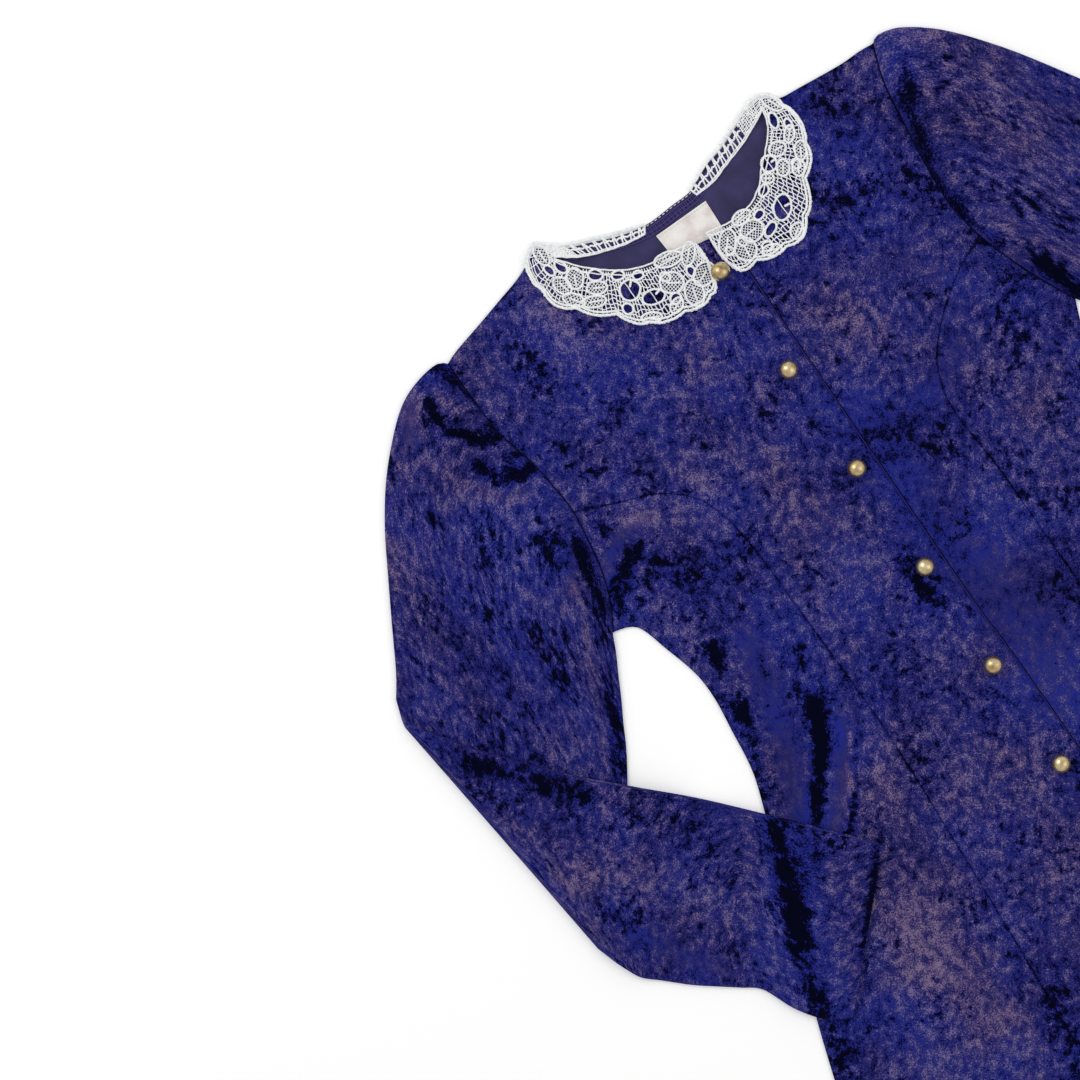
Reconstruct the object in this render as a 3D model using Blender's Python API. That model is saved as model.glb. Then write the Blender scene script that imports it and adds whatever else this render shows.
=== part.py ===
"""Long-sleeved velvet dress with a cut lace collar, laid flat on its back.

The dress lies on a table with its front up. Its right sleeve is folded at the elbow, so that
the forearm crosses the front, and its left sleeve lies straight out. Right and left are the
wearer's: the right side is the one at -X. Sizes are millimetres until a mesh is made. Every
place is measured from the top button: x across the dress, y up towards the neck, z up from
the table. The finished pieces are then moved so that the origin is the middle of the box
that the dress fills on the table.
"""

import math

import bmesh
import bpy
from mathutils import Vector
from mathutils.geometry import delaunay_2d_cdt

MM = 0.001

# Cloth, lace and the clearances between pieces
CLOTH = 1.2
LACE = 1.3
SEAM_GAP = 0.3
LAP_GAP = 0.5

# Length of the dress below its top button, and the radius that the hem is swept on
LENGTH = 1000.0
HEM_RADIUS = 1150.0

# How high the front lies above the back, and how far in from its edge it gets there
FRONT_LOFT = 1.4
LOFT_REACH = 45.0
HIGHEST_UNDERSIDE = 5.0

# Where the right front laps over the left one
UNDERLAP_X = -20.0
LAP_RAMP_START = -62.0
LAP_RAMP_END = -36.0

# Ball buttons down the front
BUTTON_DIAMETER = 13.0
BUTTON_PITCH = 83.6
BUTTON_COUNT = 11
BUTTON_FOOT_RADIUS = 2.2

# Sleeves, pressed nearly flat: thickness along both edges, and the turn at the elbow
SLEEVE_EDGE = 3.2
EDGE_ROUND = 1.5
UPPER_COLUMNS = 23
LOWER_COLUMNS = 12
ELBOW_TURN_GAP = 0.4
ELBOW_TURN_STEPS = 6
ELBOW_RISE = 0.05
GATHER_HEIGHT = 1.6
GATHERS = 8
GATHERED_SHARE = 0.72

# How cloth drapes over what it lies on: how far it stays level, its fall, and its reach
FOREARM_DRAPE = (20, 0.2, 50)
LACE_DRAPE = (8, 0.35, 20)
DRAPE_DIRECTIONS = 12

# Neck label
LABEL_THICKNESS = 1.0
LABEL_CORNERS = ((-22.0, 46.5), (-20.5, 24.0), (19.5, 22.0), (20.5, 47.0))
LABEL_MESH = (40, 40)

# How far apart the points are along each line of the cut, and across and along each panel
NECK_SPACING = 12
ARMHOLE_SPACING = 7
CAP_SPACING = 6
PRINCESS_SPACING = 16
SHOULDER_SPACING = 24
SIDE_SPACING = 32
LAP_SPACING = 40
HEM_SPACING = 26.0
COLLAR_RIB_SPACING = 2.5
COLLAR_EDGE_SPACING = 3.2
BACK_MESH = (90, 90)
FRONT_MESH = (14, 52)
LACE_MESH = (9, 9)

# The underlap runs from the neck to below the hem, where it is cut off
UNDERLAP_TOP = 24
UNDERLAP_FOOT = -1040

# Folds fade over this length at their ends, and clear the buttons' placket
FOLD_FADE = 50
PLACKET_HALF = 34
PLACKET_FADE = 26

# A drape looks for what holds it up at rings this share of its flat reach apart
DRAPE_STEP = 0.5

# The folded forearm settles on what it lies on within this distance of the fold
ELBOW_SETTLE = 14

# A scallop's wave is blunter than a sine, and is measured from this share of its depth
SCALLOP_BLUNT = 0.7
SCALLOP_MIDDLE = 0.6

# Inner points keep this share of a step clear of the edges, and joined points are this far apart
EDGE_CLEARANCE = 0.55
SAME_POINT = 0.5

# The ball's facets round it and from foot to top
BUTTON_SEGMENTS = 10
BUTTON_RINGS = 7

# Colours, as linear red, green and blue
VELVET = (0.024, 0.022, 0.130)
WRONG_SIDE = (0.018, 0.014, 0.090)
WHITE_LACE = (0.80, 0.81, 0.80)
LABEL_TAPE = (0.86, 0.83, 0.78)
OLD_BRASS = (0.48, 0.36, 0.18)

# Seams and edges, each a few points that a smooth curve runs through: (x, y)
RIGHT_SHOULDER = ((-96, 88), (-117, 78), (-138, 72), (-160, 66), (-183, 60), (-193, 56))
LEFT_SHOULDER = ((94, 84), (104, 77), (120, 75), (152, 72), (169, 72), (180, 71))
RIGHT_ARMHOLE = ((-193, 56), (-193, 23), (-191, -6), (-184, -36), (-181, -60), (-180, -80),
                 (-184, -110), (-190, -135), (-198, -153), (-205, -165))
LEFT_ARMHOLE = ((180, 71), (171, 45), (166, 12), (162, -20), (160, -50), (162, -68), (165, -83),
                (173, -108), (184, -135), (195, -157))
ARMHOLE_SEAM_POINT = 5
LEFT_ARMHOLE_SEAM_POINT = 6
RIGHT_PRINCESS = ((-180, -80), (-150, -92), (-122, -104), (-103, -122), (-94, -145), (-90, -180),
                  (-88, -260), (-87, -330), (-92, -430), (-99, -540), (-112, -700), (-130, -860),
                  (-148, -1040))
LEFT_PRINCESS = ((165, -83), (143, -92), (120, -107), (98, -127), (85, -148), (80, -175),
                 (83, -228), (84, -322), (90, -430), (98, -540), (112, -700), (130, -860),
                 (148, -1040))
BACK_NECK = ((-96, 88), (-82, 77), (-62, 69), (-42, 61), (-22, 57), (0, 58), (16, 59), (33, 67),
             (50, 71), (68, 78), (82, 84), (94, 84))
RIGHT_FRONT_NECK = ((-96, 88), (-91, 76), (-83, 62), (-74, 52), (-64, 43), (-51, 35), (-38, 31),
                    (-19, 28), (0, 25), (19, 22))
LEFT_FRONT_NECK = ((94, 84), (90, 73), (84, 58), (75, 50), (66, 42), (57, 32), (44, 24),
                   (20, 22), (0, 23), (-20, 24))
LAP_EDGE = ((18, 22), (17, -10), (16, -120), (15, -290), (17, -400), (19, -1040))

# Half width of the body below the underarm: (y, half width)
BODY_SIDE = (
    (-172, 189), (-196, 181), (-222, 174), (-244, 173), (-270, 176), (-300, 180), (-328, 189),
    (-375, 207), (-424, 225), (-472, 243), (-527, 261), (-590, 281), (-660, 303), (-740, 327),
    (-825, 352), (-910, 377), (-1000, 402),
)

# Soft folds of the front: a ridge from one end to the other, with its half width and height
FRONT_FOLDS = (
    # x from, y from, x to, y to, half width, height
    (-108, -270, -165, -330, 10, 1.6),
    (-104, -322, -150, -400, 12, 1.8),
    (-150, -440, -232, -560, 14, 2.0),
    (-184, -112, -140, -124, 9, 1.2),
    (-176, -140, -150, -190, 9, 1.2),
    (-168, -215, -150, -300, 9, 1.2),
    (-62, -520, -78, -1010, 24, 2.0),
    (-135, -500, -190, -990, 24, 2.1),
    (-205, -610, -290, -960, 26, 2.2),
    (62, -430, 92, -1010, 22, 2.0),
    (122, -330, 196, -990, 24, 2.1),
    (170, -350, 306, -960, 26, 2.2),
    (168, -112, 132, -128, 9, 1.2),
)

# Sections across a sleeve: outer edge, inner edge, height, gathers, share of the armhole's
# curve that the section keeps, and steps to the next section
RIGHT_UPPER_SLEEVE = (
    # outer x, outer y, inner x, inner y, height, gathers, curve, steps
    (-193, 56, -205, -165, 3.2, 0.3, 1.00, 1),
    (-199, 60, -207, -168, 4.8, 0.8, 0.95, 1),
    (-213, 59, -209, -173, 5.9, 1.0, 0.80, 1),
    (-231, 53, -213, -181, 6.2, 0.9, 0.60, 1),
    (-248, 41, -218, -190, 6.2, 0.6, 0.45, 1),
    (-273, 16, -227, -207, 6.2, 0.3, 0.25, 1),
    (-294, -12, -235, -221, 5.8, 0.0, 0.10, 1),
    (-312, -42, -246, -241, 5.4, 0.0, 0.00, 1),
    (-330, -73, -267, -272, 5.0, 0.0, 0.00, 1),
    (-346, -101, -296, -308, 4.4, 0.0, 0.00, 1),
    (-355, -117, -318, -334, 3.8, 0.0, 0.00, 1),
)
ELBOW_LINE = ((-363, -131), (-339, -350))
RIGHT_FOREARM = (
    # upper x, upper y, lower x, lower y, height, steps
    (-347, -153, -334, -362, 3.3, 1),
    (-331, -176, -328, -372, 3.8, 1),
    (-310, -201, -315, -386, 4.4, 1),
    (-284, -232, -300, -400, 5.0, 1),
    (-257, -259, -286, -411, 5.2, 1),
    (-231, -285, -273, -421, 5.2, 1),
    (-204, -314, -261, -431, 5.2, 1),
    (-180, -341, -251, -453, 5.0, 1),
    (-157, -367, -238, -471, 4.6, 1),
    (-134, -394, -221, -482, 4.2, 0),
)
LEFT_SLEEVE = (
    # outer x, outer y, inner x, inner y, height, gathers, curve, steps
    (180, 71, 195, -157, 3.2, 0.3, 1.00, 1),
    (186, 74, 197, -160, 4.8, 0.8, 0.95, 1),
    (201, 70, 200, -166, 5.9, 1.0, 0.80, 1),
    (218, 58, 204, -174, 6.2, 0.9, 0.60, 1),
    (233, 43, 210, -186, 6.2, 0.6, 0.45, 1),
    (252, 19, 219, -203, 6.2, 0.3, 0.25, 1),
    (269, -6, 229, -221, 5.8, 0.0, 0.10, 1),
    (301, -57, 252, -260, 5.4, 0.0, 0.00, 2),
    (345, -128, 288, -320, 5.2, 0.0, 0.00, 2),
    (396, -212, 326, -384, 5.2, 0.0, 0.00, 2),
    (448, -305, 362, -440, 5.0, 0.0, 0.00, 2),
    (482, -370, 383, -474, 4.8, 0.0, 0.00, 1),
    (509, -424, 401, -503, 4.2, 0.0, 0.00, 0),
)

# Ribs across each half of the lace collar, from its end behind the neck, round the neck
# corner and down to the centre front: (inner x, inner y, outer x, outer y)
RIGHT_COLLAR_RIBS = (
    (-28, 52, -24, 58), (-43, 54, -40, 63), (-60, 59, -60, 71), (-75, 65, -81, 80),
    (-89, 75, -96, 91), (-90, 74, -106, 85), (-87, 70, -111, 67), (-80, 61, -106, 46),
    (-71, 52, -92, 30), (-61, 44, -76, 15), (-50, 37, -62, -1), (-38, 33, -43, -8),
    (-26, 31, -25, -11), (-14, 30, -11, -9), (-6, 28, -4, 6), (-3, 26, -2, 21),
)
LEFT_COLLAR_RIBS = (
    (18, 54, 16, 60), (33, 55, 33, 68), (48, 60, 49, 73), (67, 66, 66, 80),
    (86, 75, 84, 86), (89, 77, 97, 84), (88, 70, 105, 70), (84, 62, 105, 52),
    (76, 53, 100, 35), (66, 44, 87, 18), (57, 34, 75, -1), (47, 28, 60, -12),
    (35, 25, 43, -12), (24, 25, 27, -9), (13, 27, 12, -6), (8, 28, 7, 8),
)
SCALLOPS = 7
SCALLOP_DEPTH = 3.0
SCALLOPS_START = 0.36

# Gaps cut through each half of the lace: place, size across and along, and turn in degrees
RIGHT_LACE_GAPS = (
    # x, y, across, along, turn
    (-97.5, 69.0, 4.2, 8.0, 8),
    (-89.5, 66.5, 5.2, 9.5, 14),
    (-73.0, 48.0, 9.0, 6.5, -40),
    (-60.0, 39.0, 7.5, 5.5, -25),
    (-59.0, 25.5, 13.5, 13.0, 15),
    (-67.5, 15.5, 5.5, 7.0, 20),
    (-48.0, 12.0, 15.0, 9.0, -15),
    (-48.5, 30.5, 6.0, 4.4, -30),
    (-36.0, 2.5, 7.0, 6.0, 30),
    (-33.5, 19.0, 4.6, 5.6, 20),
    (-16.5, 12.0, 4.4, 6.5, 0),
)
LEFT_LACE_GAPS = (
    # x, y, across, along, turn
    (91.5, 66.0, 5.0, 10.0, -16),
    (98.5, 58.0, 4.2, 6.5, -10),
    (71.5, 43.0, 9.5, 10.0, -35),
    (87.0, 32.0, 4.6, 6.0, 0),
    (58.0, 29.5, 7.5, 5.0, 35),
    (62.0, 12.5, 11.0, 17.0, -42),
    (45.5, 17.5, 6.5, 4.6, 10),
    (46.5, 4.5, 9.5, 5.5, 25),
    (37.5, -4.0, 6.5, 5.5, -20),
    (25.5, 9.0, 4.4, 6.0, 0),
    (14.0, 8.0, 4.2, 5.0, 20),
)
GAP_SIDES = 9


def through(points, spacing):
    """Return points about `spacing` apart on a smooth curve through the given ones."""
    ends = [points[0]] + list(points) + [points[-1]]
    curve = []
    for before, start, end, after in zip(ends, ends[1:], ends[2:], ends[3:]):
        steps = max(1, round(math.dist(start[:2], end[:2]) / spacing))
        for step in range(steps):
            curve.append(between(before, start, end, after, step / steps))
    curve.append(tuple(float(value) for value in points[-1]))
    return curve


def between(before, start, end, after, share):
    """Return the Catmull-Rom point at `share` of the way from start to end."""
    point = []
    for a, b, c, d in zip(before, start, end, after):
        bend = 2 * b + (c - a) * share + (2 * a - 5 * b + 4 * c - d) * share ** 2
        point.append(0.5 * (bend + (3 * b - a - 3 * c + d) * share ** 3))
    return tuple(point)


def smoothstep(value):
    """Rise softly from 0 to 1 as value goes from 0 to 1."""
    value = min(1.0, max(0.0, value))
    return value * value * (3.0 - 2.0 * value)


def signed_area(outline):
    """Return the outline's area, positive when it runs anticlockwise."""
    pairs = zip(outline, outline[1:] + outline[:1])
    return 0.5 * sum(a[0] * b[1] - b[0] * a[1] for a, b in pairs)


def inside(outline, x, y):
    """Say whether a point is inside a closed outline."""
    hit = False
    for (ax, ay), (bx, by) in zip(outline, outline[1:] + outline[:1]):
        if (ay > y) != (by > y) and x < ax + (y - ay) * (bx - ax) / (by - ay):
            hit = not hit
    return hit


def distance_to(line, x, y):
    """Return the distance from a point to an open line of points."""
    best = math.inf
    for (ax, ay), (bx, by) in zip(line, line[1:]):
        dx, dy = bx - ax, by - ay
        share = ((x - ax) * dx + (y - ay) * dy) / max(dx * dx + dy * dy, 1e-9)
        share = min(1.0, max(0.0, share))
        best = min(best, math.hypot(x - ax - share * dx, y - ay - share * dy))
    return best


def inset(outline, distance):
    """Move a closed outline inwards by a distance, and return it anticlockwise."""
    if signed_area(outline) < 0:
        outline = outline[::-1]
    moved = []
    for index, (x, y) in enumerate(outline):
        ax, ay = outline[index - 1]
        bx, by = outline[(index + 1) % len(outline)]
        first = Vector((ay - y, x - ax)).normalized()
        second = Vector((y - by, bx - x)).normalized()
        normal = first + second
        reach = distance * 2.0 / max(normal.length_squared, 0.5)
        moved.append((x + normal.x * reach, y + normal.y * reach))
    return moved


def joined(*lines):
    """Join lines end to end into one outline, with no point twice."""
    outline = []
    for line in lines:
        for x, y in line:
            if not outline or math.dist(outline[-1], (x, y)) > SAME_POINT:
                outline.append((float(x), float(y)))
    if math.dist(outline[0], outline[-1]) < SAME_POINT:
        outline.pop()
    return outline


def hem_y(x):
    """Return the height of the hem at x, swept on the hem's radius."""
    return HEM_RADIUS - LENGTH - math.sqrt(HEM_RADIUS ** 2 - x * x)


def above_hem(line):
    """Cut a line that runs down the dress where it meets the hem."""
    kept = []
    for (ax, ay), (bx, by) in zip(line, line[1:]):
        kept.append((ax, ay))
        if by <= hem_y(bx):
            start = ay - hem_y(ax)
            share = start / (start - (by - hem_y(bx)))
            x = ax + (bx - ax) * share
            kept.append((x, hem_y(x)))
            return kept
    return kept + [line[-1]]


def hem_between(start_x, end_x, spacing=HEM_SPACING):
    """Return points along the hem from one x to another."""
    steps = max(2, round(abs(end_x - start_x) / spacing))
    xs = [start_x + (end_x - start_x) * step / steps for step in range(steps + 1)]
    return [(x, hem_y(x)) for x in xs]


def triangulate(outline, holes, loose, stretch):
    """Fill an outline with triangles, leaving its holes open.

    Returns the points and the triangles as rows of point numbers. The loose points lie
    inside. Stretch is how much longer than wide the triangles may be.
    """
    points = list(outline)
    edges = []
    start = 0
    for ring in [outline] + holes:
        if start:
            points.extend(ring)
        edges.extend((start + i, start + (i + 1) % len(ring)) for i in range(len(ring)))
        start += len(ring)
    points.extend(loose)
    flat = [Vector((x, y / stretch)) for x, y in points]
    found = delaunay_2d_cdt(flat, edges, [], 0, 1e-5)
    spots = [(spot.x, spot.y * stretch) for spot in found[0]]
    triangles = []
    for face in found[2]:
        x = sum(spots[i][0] for i in face) / 3.0
        y = sum(spots[i][1] for i in face) / 3.0
        if inside(outline, x, y) and not any(inside(hole, x, y) for hole in holes):
            triangles.append(list(face))
    return spots, triangles


def spread_points(outline, holes, step_x, step_y):
    """Return a staggered grid of points inside an outline, clear of its edges."""
    xs = [x for x, _ in outline]
    ys = [y / step_y * step_x for _, y in outline]
    squashed = [(x, y / step_y * step_x) for x, y in outline]
    rings = [squashed + squashed[:1]]
    for hole in holes:
        ring = [(x, y / step_y * step_x) for x, y in hole]
        rings.append(ring + ring[:1])
    points = []
    row = 0
    y = min(ys) + 0.5 * step_x
    while y < max(ys):
        x = min(xs) + (0.5 if row % 2 else 1.0) * step_x
        while x < max(xs):
            clear = all(distance_to(ring, x, y) > EDGE_CLEARANCE * step_x for ring in rings)
            if clear and inside(squashed, x, y):
                if not any(inside(ring[:-1], x, y) for ring in rings[1:]):
                    points.append((x, y * step_y / step_x))
            x += step_x
        y += step_x
        row += 1
    return points


def finish(name, mesh_data, material, smooth=True):
    """Make an object from a bmesh in millimetres, with one material."""
    for vert in mesh_data.verts:
        vert.co *= MM
    bmesh.ops.recalc_face_normals(mesh_data, faces=mesh_data.faces)
    mesh = bpy.data.meshes.new(name)
    mesh_data.to_mesh(mesh)
    mesh_data.free()
    if smooth:
        mesh.shade_smooth()
        mesh.set_sharp_from_angle(angle=math.radians(40))
    mesh.materials.append(material)
    piece = bpy.data.objects.new(name, mesh)
    bpy.context.scene.collection.objects.link(piece)
    return piece


def finish_material(name, colour, roughness, metallic=0.0):
    """Return a Principled material of one colour."""
    material = bpy.data.materials.new(name)
    material.use_nodes = True
    shader = material.node_tree.nodes["Principled BSDF"]
    shader.inputs["Base Color"].default_value = (*colour, 1.0)
    shader.inputs["Roughness"].default_value = roughness
    shader.inputs["Metallic"].default_value = metallic
    material.diffuse_color = (*colour, 1.0)
    return material


def wall(name, outline, holes, steps, underside, thickness, material):
    """Make a sheet of cloth or lace: an outline with holes, on a given underside.

    Steps are the spacing of its inner points across and along. Underside gives the height
    of its lower face at a place.
    """
    step_x, step_y = steps
    loose = spread_points(outline, holes, step_x, step_y)
    spots, triangles = triangulate(outline, holes, loose, step_y / step_x)
    sheet = bmesh.new()
    lower = [sheet.verts.new((x, y, underside(x, y))) for x, y in spots]
    upper = [sheet.verts.new((v.co.x, v.co.y, v.co.z + thickness)) for v in lower]
    used = {}
    for a, b, c in triangles:
        sheet.faces.new((upper[a], upper[b], upper[c]))
        sheet.faces.new((lower[c], lower[b], lower[a]))
        for start, end in ((a, b), (b, c), (c, a)):
            used[(start, end)] = True
    for start, end in used:
        if (end, start) not in used:
            sheet.faces.new((lower[start], lower[end], upper[end], upper[start]))
    loose_verts = [vert for vert in sheet.verts if not vert.link_faces]
    bmesh.ops.delete(sheet, geom=loose_verts, context="VERTS")
    return finish(name, sheet, material, smooth=False)


class Dress:
    """The outlines of the dress's panels and the heights that they lie at."""

    def __init__(self):
        self.right_side = self.side(-1, RIGHT_ARMHOLE[-1])
        self.left_side = self.side(1, LEFT_ARMHOLE[-1])
        self.right_armhole = through(RIGHT_ARMHOLE, ARMHOLE_SPACING)
        self.left_armhole = through(LEFT_ARMHOLE, ARMHOLE_SPACING)
        self.right_shoulder = through(RIGHT_SHOULDER, SHOULDER_SPACING)
        self.left_shoulder = through(LEFT_SHOULDER, SHOULDER_SPACING)
        self.edge = joined(self.right_shoulder, self.right_armhole, self.right_side)
        self.left_edge = joined(self.left_shoulder, self.left_armhole, self.left_side)
        self.outline = self.back_outline()
        self.panels = self.front_outlines()

    @staticmethod
    def side(sign, underarm):
        """Return the side seam from the underarm to the hem."""
        rows = [(sign * half, y) for y, half in BODY_SIDE]
        return above_hem([tuple(map(float, underarm))] + through(rows, SIDE_SPACING))

    def back_outline(self):
        """Return the outline of the whole body."""
        hem = hem_between(self.right_side[-1][0], self.left_side[-1][0])
        return joined(
            through(BACK_NECK, NECK_SPACING)[::-1], self.right_shoulder, self.right_armhole,
            self.right_side, hem, self.left_side[::-1], self.left_armhole[::-1],
            self.left_shoulder[::-1],
        )

    def front_outlines(self):
        """Return the outlines of the four front panels by name."""
        right_seam = above_hem(through(RIGHT_PRINCESS, PRINCESS_SPACING))
        left_seam = above_hem(through(LEFT_PRINCESS, PRINCESS_SPACING))
        right_upper, right_lower = split(self.right_armhole, RIGHT_ARMHOLE[ARMHOLE_SEAM_POINT])
        left_upper, left_lower = split(self.left_armhole, LEFT_ARMHOLE[LEFT_ARMHOLE_SEAM_POINT])
        lap = above_hem(through(LAP_EDGE, LAP_SPACING))
        straight = ((UNDERLAP_X, UNDERLAP_TOP), (UNDERLAP_X, UNDERLAP_FOOT))
        under = above_hem(through(straight, LAP_SPACING))
        return {
            "front_side_right": joined(
                right_seam, hem_between(right_seam[-1][0], self.right_side[-1][0]),
                self.right_side[::-1], right_lower[::-1],
            ),
            "front_centre_right": joined(
                self.right_shoulder, right_upper, right_seam,
                hem_between(right_seam[-1][0], lap[-1][0]), lap[::-1],
                through(RIGHT_FRONT_NECK, NECK_SPACING)[::-1],
            ),
            "front_side_left": joined(
                left_seam, hem_between(left_seam[-1][0], self.left_side[-1][0]),
                self.left_side[::-1], left_lower[::-1],
            ),
            "front_centre_left": joined(
                self.left_shoulder, left_upper, left_seam,
                hem_between(left_seam[-1][0], under[-1][0]), under[::-1],
                through(LEFT_FRONT_NECK, NECK_SPACING)[::-1],
            ),
        }

    def folds(self, x, y):
        """Return how far the front's folds rise at a place."""
        height = 0.0
        for ax, ay, bx, by, half_width, top in FRONT_FOLDS:
            dx, dy = bx - ax, by - ay
            length = math.hypot(dx, dy)
            along = ((x - ax) * dx + (y - ay) * dy) / length
            across = ((x - ax) * dy - (y - ay) * dx) / length
            fade = smoothstep(along / FOLD_FADE + 0.5)
            fade *= smoothstep((length - along) / FOLD_FADE + 0.5)
            height += top * fade * math.exp(-(across / half_width) ** 2)
        return height * smoothstep((abs(x) - PLACKET_HALF) / PLACKET_FADE)

    def front_under(self, x, y):
        """Return the height of the front's underside at a place."""
        away = min(distance_to(self.edge, x, y), distance_to(self.left_edge, x, y))
        settle = smoothstep(away / LOFT_REACH)
        rise = settle * (FRONT_LOFT + self.folds(x, y))
        return min(HIGHEST_UNDERSIDE, CLOTH + SEAM_GAP + rise)

    def lap_under(self, x, y):
        """Return the height of the right front's underside, which laps over the left one."""
        ramp = smoothstep((x - LAP_RAMP_START) / (LAP_RAMP_END - LAP_RAMP_START))
        return self.front_under(x, y) + (CLOTH + LAP_GAP) * ramp

    def top(self, x, y):
        """Return the height of the uppermost cloth of the body at a place."""
        if inside(self.panels["front_centre_right"], x, y):
            return self.lap_under(x, y) + CLOTH
        for name in ("front_side_right", "front_centre_left", "front_side_left"):
            if inside(self.panels[name], x, y):
                return self.front_under(x, y) + CLOTH
        if inside(self.outline, x, y):
            return CLOTH
        return 0.0


def split(line, at):
    """Cut a line in two at one of its points."""
    place = min(range(len(line)), key=lambda i: math.dist(line[i], at))
    return line[:place + 1], line[place:]


def lie_over(top, x, y, flat, slope, reach):
    """Return how high a cloth lies at a place, draped over the heights that `top` gives.

    The cloth stays as high as what is within `flat` of the place, and falls away from what
    is further off at `slope`, out to `reach`.
    """
    best = top(x, y)
    ring = DRAPE_STEP * flat
    while ring <= reach:
        fall = slope * max(0.0, ring - flat)
        for step in range(DRAPE_DIRECTIONS):
            angle = math.tau * step / DRAPE_DIRECTIONS
            spot = top(x + ring * math.cos(angle), y + ring * math.sin(angle))
            best = max(best, spot - fall)
        ring += DRAPE_STEP * flat
    return best


def make_body(dress, velvet, wrong_side):
    """Make the flat back and the four front panels."""
    wall("back", inset(dress.outline, SEAM_GAP / 2), [], BACK_MESH,
         lambda x, y: 0.0, CLOTH, wrong_side)
    for name, outline in dress.panels.items():
        under = dress.lap_under if name == "front_centre_right" else dress.front_under
        wall(name, inset(outline, SEAM_GAP / 2), [], FRONT_MESH, under, CLOTH, velvet)


class Row:
    """One ring round a sleeve, with its edges and what shapes it."""

    def __init__(self, outer, inner, height, gathers=0.0, curve=0.0, turn=None, folded=False):
        self.outer = Vector(outer)
        self.inner = Vector(inner)
        self.height = height
        self.gathers = gathers
        self.curve = curve
        self.turn = turn
        self.folded = folded


def table_rows(table, folded=False):
    """Read a table of sleeve sections, with smooth steps between them."""
    rows = []
    for index, row in enumerate(table):
        before = table[max(index - 1, 0)]
        end = table[min(index + 1, len(table) - 1)]
        after = table[min(index + 2, len(table) - 1)]
        for step in range(max(1, row[-1])):
            values = between(before[:-1], row[:-1], end[:-1], after[:-1], step / max(1, row[-1]))
            shape = values[5:7] if len(values) > 5 else (0.0, 0.0)
            rows.append(Row(values[0:2], values[2:4], values[4], *shape, folded=folded))
    return rows


def elbow_rows():
    """Return the rings that turn over the elbow's fold line."""
    upper, lower = Vector(ELBOW_LINE[0]), Vector(ELBOW_LINE[1])
    line = (lower - upper).normalized()
    normal = Vector((line.y, -line.x))
    start = SLEEVE_EDGE + ELBOW_TURN_GAP
    rows = []
    for step in range(ELBOW_TURN_STEPS + 1):
        angle = math.pi * step / ELBOW_TURN_STEPS
        turn = (angle, normal)
        rows.append(Row(upper - normal * start, lower - normal * start, SLEEVE_EDGE, turn=turn))
    return rows


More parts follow.
